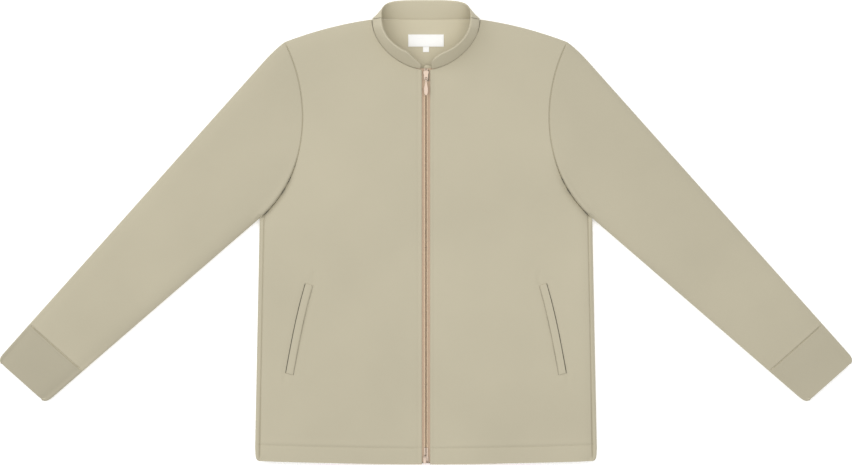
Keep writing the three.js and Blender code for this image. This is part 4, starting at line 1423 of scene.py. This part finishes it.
class JACKET_OT_zip_fittings(bpy.types.Operator):
    """The top stops, the loose and the fixed pin, and the box at the foot of the zip"""

    bl_idname = "jacket.zip_fittings"
    bl_label = "Zip stops, pins and box"

    def execute(self, context):
        for side, _ in SIDES:
            self.stop(f"{side}_top_stop", f"{side}_top_stop_clip", f"{side}_front")
        self.pin("insertion_pin", "insertion_pin_rod", "left_front")
        self.pin("retainer_pin", "retainer_pin_rod", "right_front")
        self.box()
        return {"FINISHED"}

    def stop(self, source, name, body):
        """A small clip pressed over the end of the coil, waisted in the middle."""
        lo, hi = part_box(source)
        made = block(name, (lo.x, hi.x), (lo.y, hi.y), (lo.z, hi.z))
        edit(made, lambda part, centre: True)
        bpy.ops.mesh.subdivide(number_cuts=3)
        leave()
        middle = (lo + hi) / 2
        edit(made, lambda part, centre: abs(centre.y - middle.y) < 0.0003)
        bpy.ops.transform.resize(value=(0.86, 1, 0.8), center_override=tuple(middle))
        leave()
        bevelled(made, 0.0002, 2)
        made = finish_hard(made, name)
        finish_piece(made, body, (source,), rose_metal())

    def pin(self, source, name, body):
        """A flat rod with a round end, nipped to the tape at its upper end."""
        lo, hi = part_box(source)
        made = block(name, (lo.x, hi.x), (lo.y, hi.y), (lo.z, hi.z))
        edit(made, lambda part, centre: True)
        bpy.ops.mesh.subdivide(number_cuts=5)
        leave()
        middle = (lo + hi) / 2
        edit(made, lambda part, centre: centre.y < lo.y + 0.0004)
        bpy.ops.transform.resize(value=(0.55, 1, 0.55), center_override=(middle.x, lo.y, middle.z))
        leave()
        bevelled(made, 0.0003, 3)
        made = finish_hard(made, name)
        finish_piece(made, body, (source,), rose_metal())

    def box(self):
        """The moulded box that the loose pin stands in, with a raised panel on its lid."""
        source = "retainer_box"
        lo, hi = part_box(source)
        wall = 0.0011
        floor = block("box_floor", (lo.x, hi.x), (lo.y, hi.y), (lo.z, lo.z + wall))
        end = block("box_end", (lo.x, hi.x), (lo.y, lo.y + wall), (lo.z, hi.z))
        keel = block("box_keel", (-0.0004, 0.0004), (lo.y, hi.y), (lo.z, hi.z))
        lid = block("box_lid", (lo.x, 0.0004), (lo.y, hi.y), (COIL_BASE, hi.z))
        edit(lid, lambda part, centre: part.normal.z > 0.9, "FACE")
        bpy.ops.mesh.inset(thickness=0.0008, depth=0)
        bpy.ops.transform.translate(value=(0, 0, -0.0003))
        leave()
        cheek = block("box_cheek", (hi.x - 0.0009, hi.x), (lo.y, hi.y), (lo.z, hi.z - 0.0004))
        for part in (floor, end, keel, lid, cheek):
            bevelled(part, 0.00022, 3)
            apply_modifiers(part)
        made = finish_hard(joined([floor, end, keel, lid, cheek], "retainer_box_body"), "retainer_box_body")
        finish_piece(made, "right_front", (source,), rose_metal())


class JACKET_OT_slider(bpy.types.Operator):
    """The slider's two plates and its post, and the bridge that holds the puller"""

    bl_idname = "jacket.slider"
    bl_label = "Slider"

    def execute(self, context):
        lo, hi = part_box("slider_body")
        plate = 0.0012
        parts = [
            self.plate("slider_upper", lo, hi, (hi.z - plate, hi.z)),
            self.plate("slider_lower", lo, hi, (lo.z, lo.z + plate)),
        ]
        inside = (lo.z + plate / 2, hi.z - plate / 2)
        post = block("slider_post", (-0.0004, 0.0004), (lo.y + 0.008, hi.y - 0.001), inside)
        bevelled(post, 0.0002, 2)
        apply_modifiers(post)
        made = finish_hard(joined([*parts, post], "slider_plates"), "slider_plates")
        finish_piece(made, "slider", ("slider_body",), rose_metal())
        self.bridge()
        return {"FINISHED"}

    def plate(self, name, lo, hi, z):
        """Wide over the two open coils and narrow where they leave together."""
        made = block(name, (lo.x, hi.x), (lo.y, hi.y), z)
        edit(made, lambda part, centre: abs(part.verts[0].co.y - part.verts[1].co.y) > 0.001, "EDGE")
        bpy.ops.mesh.subdivide(number_cuts=7)
        leave()
        length = hi.y - lo.y
        for k in range(9):
            share = k / 8
            y = lo.y + share * length
            if share < 0.5:
                width = 0.73 + 0.07 * math.sin(share * math.pi)
            elif share < 0.8:
                width = 0.80 + 0.2 * (share - 0.5) / 0.3
            else:
                width = 1.0 - 0.42 * ((share - 0.8) / 0.2) ** 2
            edit(made, lambda part, centre: abs(centre.y - y) < 0.0004)
            bpy.ops.transform.resize(value=(width, 1, 1), center_override=(0, y, z[0]))
            leave()
        bevelled(made, 0.00035, 3, 28)
        apply_modifiers(made)
        return made

    def bridge(self):
        lo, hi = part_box("slider_bridge")
        ears = []
        for sign in (1, -1):
            inner, outer = 0.002, hi.x
            x = (inner, outer) if sign > 0 else (-outer, -inner)
            ear = block("bridge_ear", x, (lo.y, hi.y), (lo.z, hi.z))
            edit(ear, lambda part, centre: part.normal.z > 0.9, "FACE")
            bpy.ops.mesh.extrude_region_move()
            bpy.ops.transform.resize(value=(1, 0.6, 1))
            leave()
            bevelled(ear, 0.0003, 3)
            apply_modifiers(ear)
            ears.append(ear)
        pin = rod(20, 0.0007, 0.005, (0, (lo.y + hi.y) / 2, PULL_PIVOT_Z), ALONG_X)
        bevelled(pin, 0.00015, 2)
        apply_modifiers(pin)
        only(pin)
        bpy.ops.object.transform_apply(location=True, rotation=True, scale=True)
        made = finish_hard(joined([*ears, pin], "slider_bridge_loop"), "slider_bridge_loop")
        finish_piece(made, "slider", ("slider_bridge",), rose_metal())


class JACKET_OT_pull_tab(bpy.types.Operator):
    """The teardrop puller and its eye"""

    bl_idname = "jacket.pull_tab"
    bl_label = "Puller"

    def execute(self, context):
        lo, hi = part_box("pull_tab")
        pivot_y = (low("slider_bridge", Y) + high("slider_bridge", Y)) / 2
        thick = 0.0014
        neck = 0.0022
        top = pivot_y - 0.0016
        made = block("pull_plate", (lo.x, hi.x), (lo.y, top), (PULL_PIVOT_Z - thick / 2, PULL_PIVOT_Z + thick / 2))
        edit(made, lambda part, centre: abs(part.verts[0].co.y - part.verts[1].co.y) > 0.001, "EDGE")
        bpy.ops.mesh.subdivide(number_cuts=19)
        leave()
        length = top - lo.y
        for k in range(21):
            share = k / 20
            y = lo.y + share * length
            tip = swell(np.array([share / 0.36]))[0]
            body = 1 - (1 - neck / 2 / hi.x) * float(smooth(share, 0.34, 0.93))
            width = max(float(tip) * body, 0.12)
            edit(made, lambda part, centre: abs(centre.y - y) < 0.0003)
            bpy.ops.transform.resize(value=(width, 1, 1), center_override=(0, y, PULL_PIVOT_Z))
            leave()
        edit(made, lambda part, centre: abs(part.normal.z) > 0.9, "FACE")
        bpy.ops.mesh.inset(thickness=0.00055, depth=-0.00012)
        leave()
        bevelled(made, 0.00028, 3, 26)
        apply_modifiers(made)
        eye = rod(28, 0.0019, 0.0034, (0, pivot_y, PULL_PIVOT_Z), ALONG_X)
        bpy.ops.object.transform_apply(location=True, rotation=True, scale=True)
        edit(eye, lambda part, centre: abs(part.normal.x) > 0.9, "FACE")
        bpy.ops.mesh.inset(thickness=0.0009)
        bpy.ops.mesh.bridge_edge_loops()
        leave()
        bevelled(eye, 0.00018, 2)
        apply_modifiers(eye)
        made = finish_hard(joined([made, eye], "pull_tab_drop"), "pull_tab_drop")
        finish_piece(made, "puller", ("pull_tab",), rose_metal())
        return {"FINISHED"}


# ---------------------------------------------------------------- stitching


def stitch_shape():
    """One stitch lying along X: a block whose two ends are drawn in and sunk."""
    made = block("stitch", (-0.5, 0.5), (-0.5, 0.5), (-0.5, 0.5))
    edit(made, lambda part, centre: abs(part.verts[0].co.x - part.verts[1].co.x) > 0.5, "EDGE")
    bpy.ops.mesh.subdivide(number_cuts=2)
    leave()
    edit(made, lambda part, centre: abs(centre.x) > 0.4)
    bpy.ops.transform.resize(value=(1, 0.45, 0.4), center_override=(0, 0, -0.4))
    leave()
    co = np.array([v.co for v in made.data.vertices], float).reshape(-1, 3)
    faces = np.array([list(p.vertices) for p in made.data.polygons])
    bpy.data.objects.remove(made)
    return co, faces


def stitch_row(line, height, length, unit, width=0.0006, rise=0.0005):
    """Stitches along a line in plan, resting on the cloth."""
    total = lengths(line)[-1]
    count = max(int(total / length), 1)
    at = (np.arange(count) + 0.5) / count
    centre = along(line, at)
    way = along(line, np.clip(at + 0.002, 0, 1)) - along(line, np.clip(at - 0.002, 0, 1))
    way /= np.linalg.norm(way, axis=1)[:, None]
    z = height(centre)
    co, _ = unit
    x = co[:, 0] * length * 0.82
    y = co[:, 1] * width
    points = np.empty((count, len(co), 3))
    points[..., 0] = centre[:, :1] + way[:, :1] * x - way[:, 1:] * y
    points[..., 1] = centre[:, 1:] + way[:, 1:] * x + way[:, :1] * y
    points[..., 2] = z[:, None] + co[:, 2] * rise + 0.0001
    return points


def stitch_object(name, rows, unit, sign):
    _, faces = unit
    points = np.concatenate(rows)
    if sign < 0:
        points = points * np.array([-1, 1, 1])
        faces = faces[:, ::-1]
    count, corners = points.shape[:2]
    every = (faces[None] + corners * np.arange(count)[:, None, None]).reshape(-1, faces.shape[1])
    made = new_object(name, points.reshape(-1, 3), every)
    shade(made, 80)
    made.data.materials.append(thread())
    return made


class JACKET_OT_stitching(bpy.types.Operator):
    """The rows of stitches that show: hem, welts and label"""

    bl_idname = "jacket.stitching"
    bl_label = "Stitching"

    def execute(self, context):
        cloth = read("jacket_cloth")
        unit = stitch_shape()
        step = cloth.stitch_length
        hem = hem_line(0.012, HEM_HALF - 0.012, 60, HEM_DEPTH)
        inset = 0.0014
        inner, outer, start, end = inset - WELT_WIDTH, -inset, inset, WELT_LENGTH - inset
        welt_lines = [
            np.stack([pocket_point(*a), pocket_point(*b)])
            for a, b in (
                ((inner, start), (outer, start)), ((inner, end), (outer, end)), ((inner, start), (inner, end)),
            )
        ]

        def on_cloth(p):
            return top_height(p, cloth)

        def on_welt(p):
            return top_height(p, cloth) + 0.0014

        def on_label(p):
            return np.full(len(p), high("neck_label", Z) + 0.0003)

        for side, sign in SIDES:
            made = stitch_object(f"{side}_hem_stitches", [stitch_row(hem, on_cloth, step, unit)], unit, sign)
            bend_at_fold(made)
            finish_piece(made, None)
            rows = [stitch_row(line, on_welt, 0.0026, unit, 0.0005) for line in welt_lines]
            made = stitch_object(f"{side}_welt_stitches", rows, unit, sign)
            finish_piece(made, "shell")
        lo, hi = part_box("neck_label")
        rows = [
            stitch_row(np.array([[x, lo.y + 0.001], [x, hi.y - 0.001]]), on_label, 0.0022, unit, 0.0004, 0.0004)
            for x in (lo.x + 0.0012, hi.x - 0.0012)
        ]
        made = stitch_object("label_stitches", rows, unit, 1)
        made.data.materials.clear()
        finish_piece(made, "shell", (), thread("label_thread", 0.7, 0.3))
        return {"FINISHED"}


# ---------------------------------------------------------------- stage


class JACKET_OT_stage(bpy.types.Operator):
    """A pale floor, soft light and the camera above"""

    bl_idname = "jacket.stage"
    bl_label = "Stage"

    def execute(self, context):
        stage = read("jacket_stage")
        scene = context.scene
        scene.view_settings.view_transform = "Standard"
        scene.view_settings.look = "None"
        clear_selection()
        bpy.ops.mesh.primitive_plane_add(size=14, location=(0, 0, -0.0012))
        floor = context.object
        bpy.ops.object.transform_apply(location=True, rotation=True, scale=True)
        floor.name = "floor"
        floor.data.materials.append(self.floor_paint())
        world = scene.world or bpy.data.worlds.new("World")
        scene.world = world
        world.use_nodes = True
        background = next(n for n in world.node_tree.nodes if n.type == "BACKGROUND")
        background.inputs["Color"].default_value = (1.0, 1.0, 1.0, 1)
        background.inputs["Strength"].default_value = stage.world_light
        for name, place, size, share in (
            ("overhead", (0.0, 0.35, 3.2), 3.6, 1.0),
            ("window", (-2.6, 1.6, 2.0), 2.2, 0.42),
        ):
            lamp = bpy.data.lights.new(name, "AREA")
            lamp.shape = "SQUARE"
            lamp.size = size
            lamp.energy = stage.key_light * share
            made = bpy.data.objects.new(name, lamp)
            scene.collection.objects.link(made)
            made.location = place
            made.rotation_mode = "QUATERNION"
            made.rotation_quaternion = (Vector((0, 0, 0)) - Vector(place)).to_track_quat("-Z", "Y")
        lens = bpy.data.cameras.new("camera")
        lens.lens = stage.lens
        lens.sensor_width = SENSOR_WIDTH
        lens.clip_end = 60
        camera = bpy.data.objects.new("camera", lens)
        scene.collection.objects.link(camera)
        camera.location = (0, -0.0008, EDGE_Z + stage.view_width * stage.lens / SENSOR_WIDTH)
        scene.camera = camera
        return {"FINISHED"}

    def floor_paint(self):
        material, tree, bsdf = shader_tree("floor_paint")
        place = node(tree, "ShaderNodeTexCoord")
        cloud = node(tree, "ShaderNodeTexNoise")
        cloud.inputs["Scale"].default_value = 2
        tree.links.new(place.outputs["Object"], cloud.inputs["Vector"])
        tone = math_node(tree, "MULTIPLY_ADD", cloud.outputs["Fac"], 0.01)
        tone.node.inputs[2].default_value = 0.975
        grey = node(tree, "ShaderNodeCombineColor")
        for socket in grey.inputs[:3]:
            tree.links.new(tone, socket)
        tree.links.new(grey.outputs[0], bsdf.inputs["Base Color"])
        bsdf.inputs["Roughness"].default_value = 0.9
        bsdf.inputs["Specular IOR Level"].default_value = 0.1
        bsdf.inputs["Emission Color"].default_value = (1, 1, 1, 1)
        bsdf.inputs["Emission Strength"].default_value = 0.25
        return material


PIECES = (
    JACKET_OT_stage,
    JACKET_OT_back,
    JACKET_OT_fronts,
    JACKET_OT_sleeves,
    JACKET_OT_cuffs,
    JACKET_OT_facings,
    JACKET_OT_collar,
    JACKET_OT_pockets,
    JACKET_OT_labels,
    JACKET_OT_zip_tapes,
    JACKET_OT_zip_coils,
    JACKET_OT_zip_fittings,
    JACKET_OT_slider,
    JACKET_OT_pull_tab,
    JACKET_OT_stitching,
)
SETTINGS = (
    ("jacket_cloth", JacketCloth),
    ("jacket_zip", JacketZip),
    ("jacket_colours", JacketColours),
    ("jacket_stage", JacketStage),
)


class JACKET_PT_panel(bpy.types.Panel):
    """Lists the settings and the pieces"""

    bl_idname = "JACKET_PT_panel"
    bl_label = "Jacket"
    bl_space_type = "VIEW_3D"
    bl_region_type = "UI"
    bl_category = "Jacket"

    def draw(self, context):
        for name, kind in SETTINGS:
            box = self.layout.box()
            for setting in kind.__annotations__:
                box.prop(getattr(context.scene, name), setting)
        for piece in PIECES:
            self.layout.operator(piece.bl_idname)


def register():
    for name, kind in SETTINGS:
        bpy.utils.register_class(kind)
        setattr(bpy.types.Scene, name, bpy.props.PointerProperty(type=kind))
    for piece in PIECES:
        bpy.utils.register_class(piece)
    bpy.utils.register_class(JACKET_PT_panel)


def unregister():
    bpy.utils.unregister_class(JACKET_PT_panel)
    for piece in reversed(PIECES):
        bpy.utils.unregister_class(piece)
    for name, kind in reversed(SETTINGS):
        delattr(bpy.types.Scene, name)
        bpy.utils.unregister_class(kind)


def main():
    register()
    for piece in PIECES:
        group, name = piece.bl_idname.split(".")
        getattr(getattr(bpy.ops, group), name)()


if __name__ == "__main__":
    main()
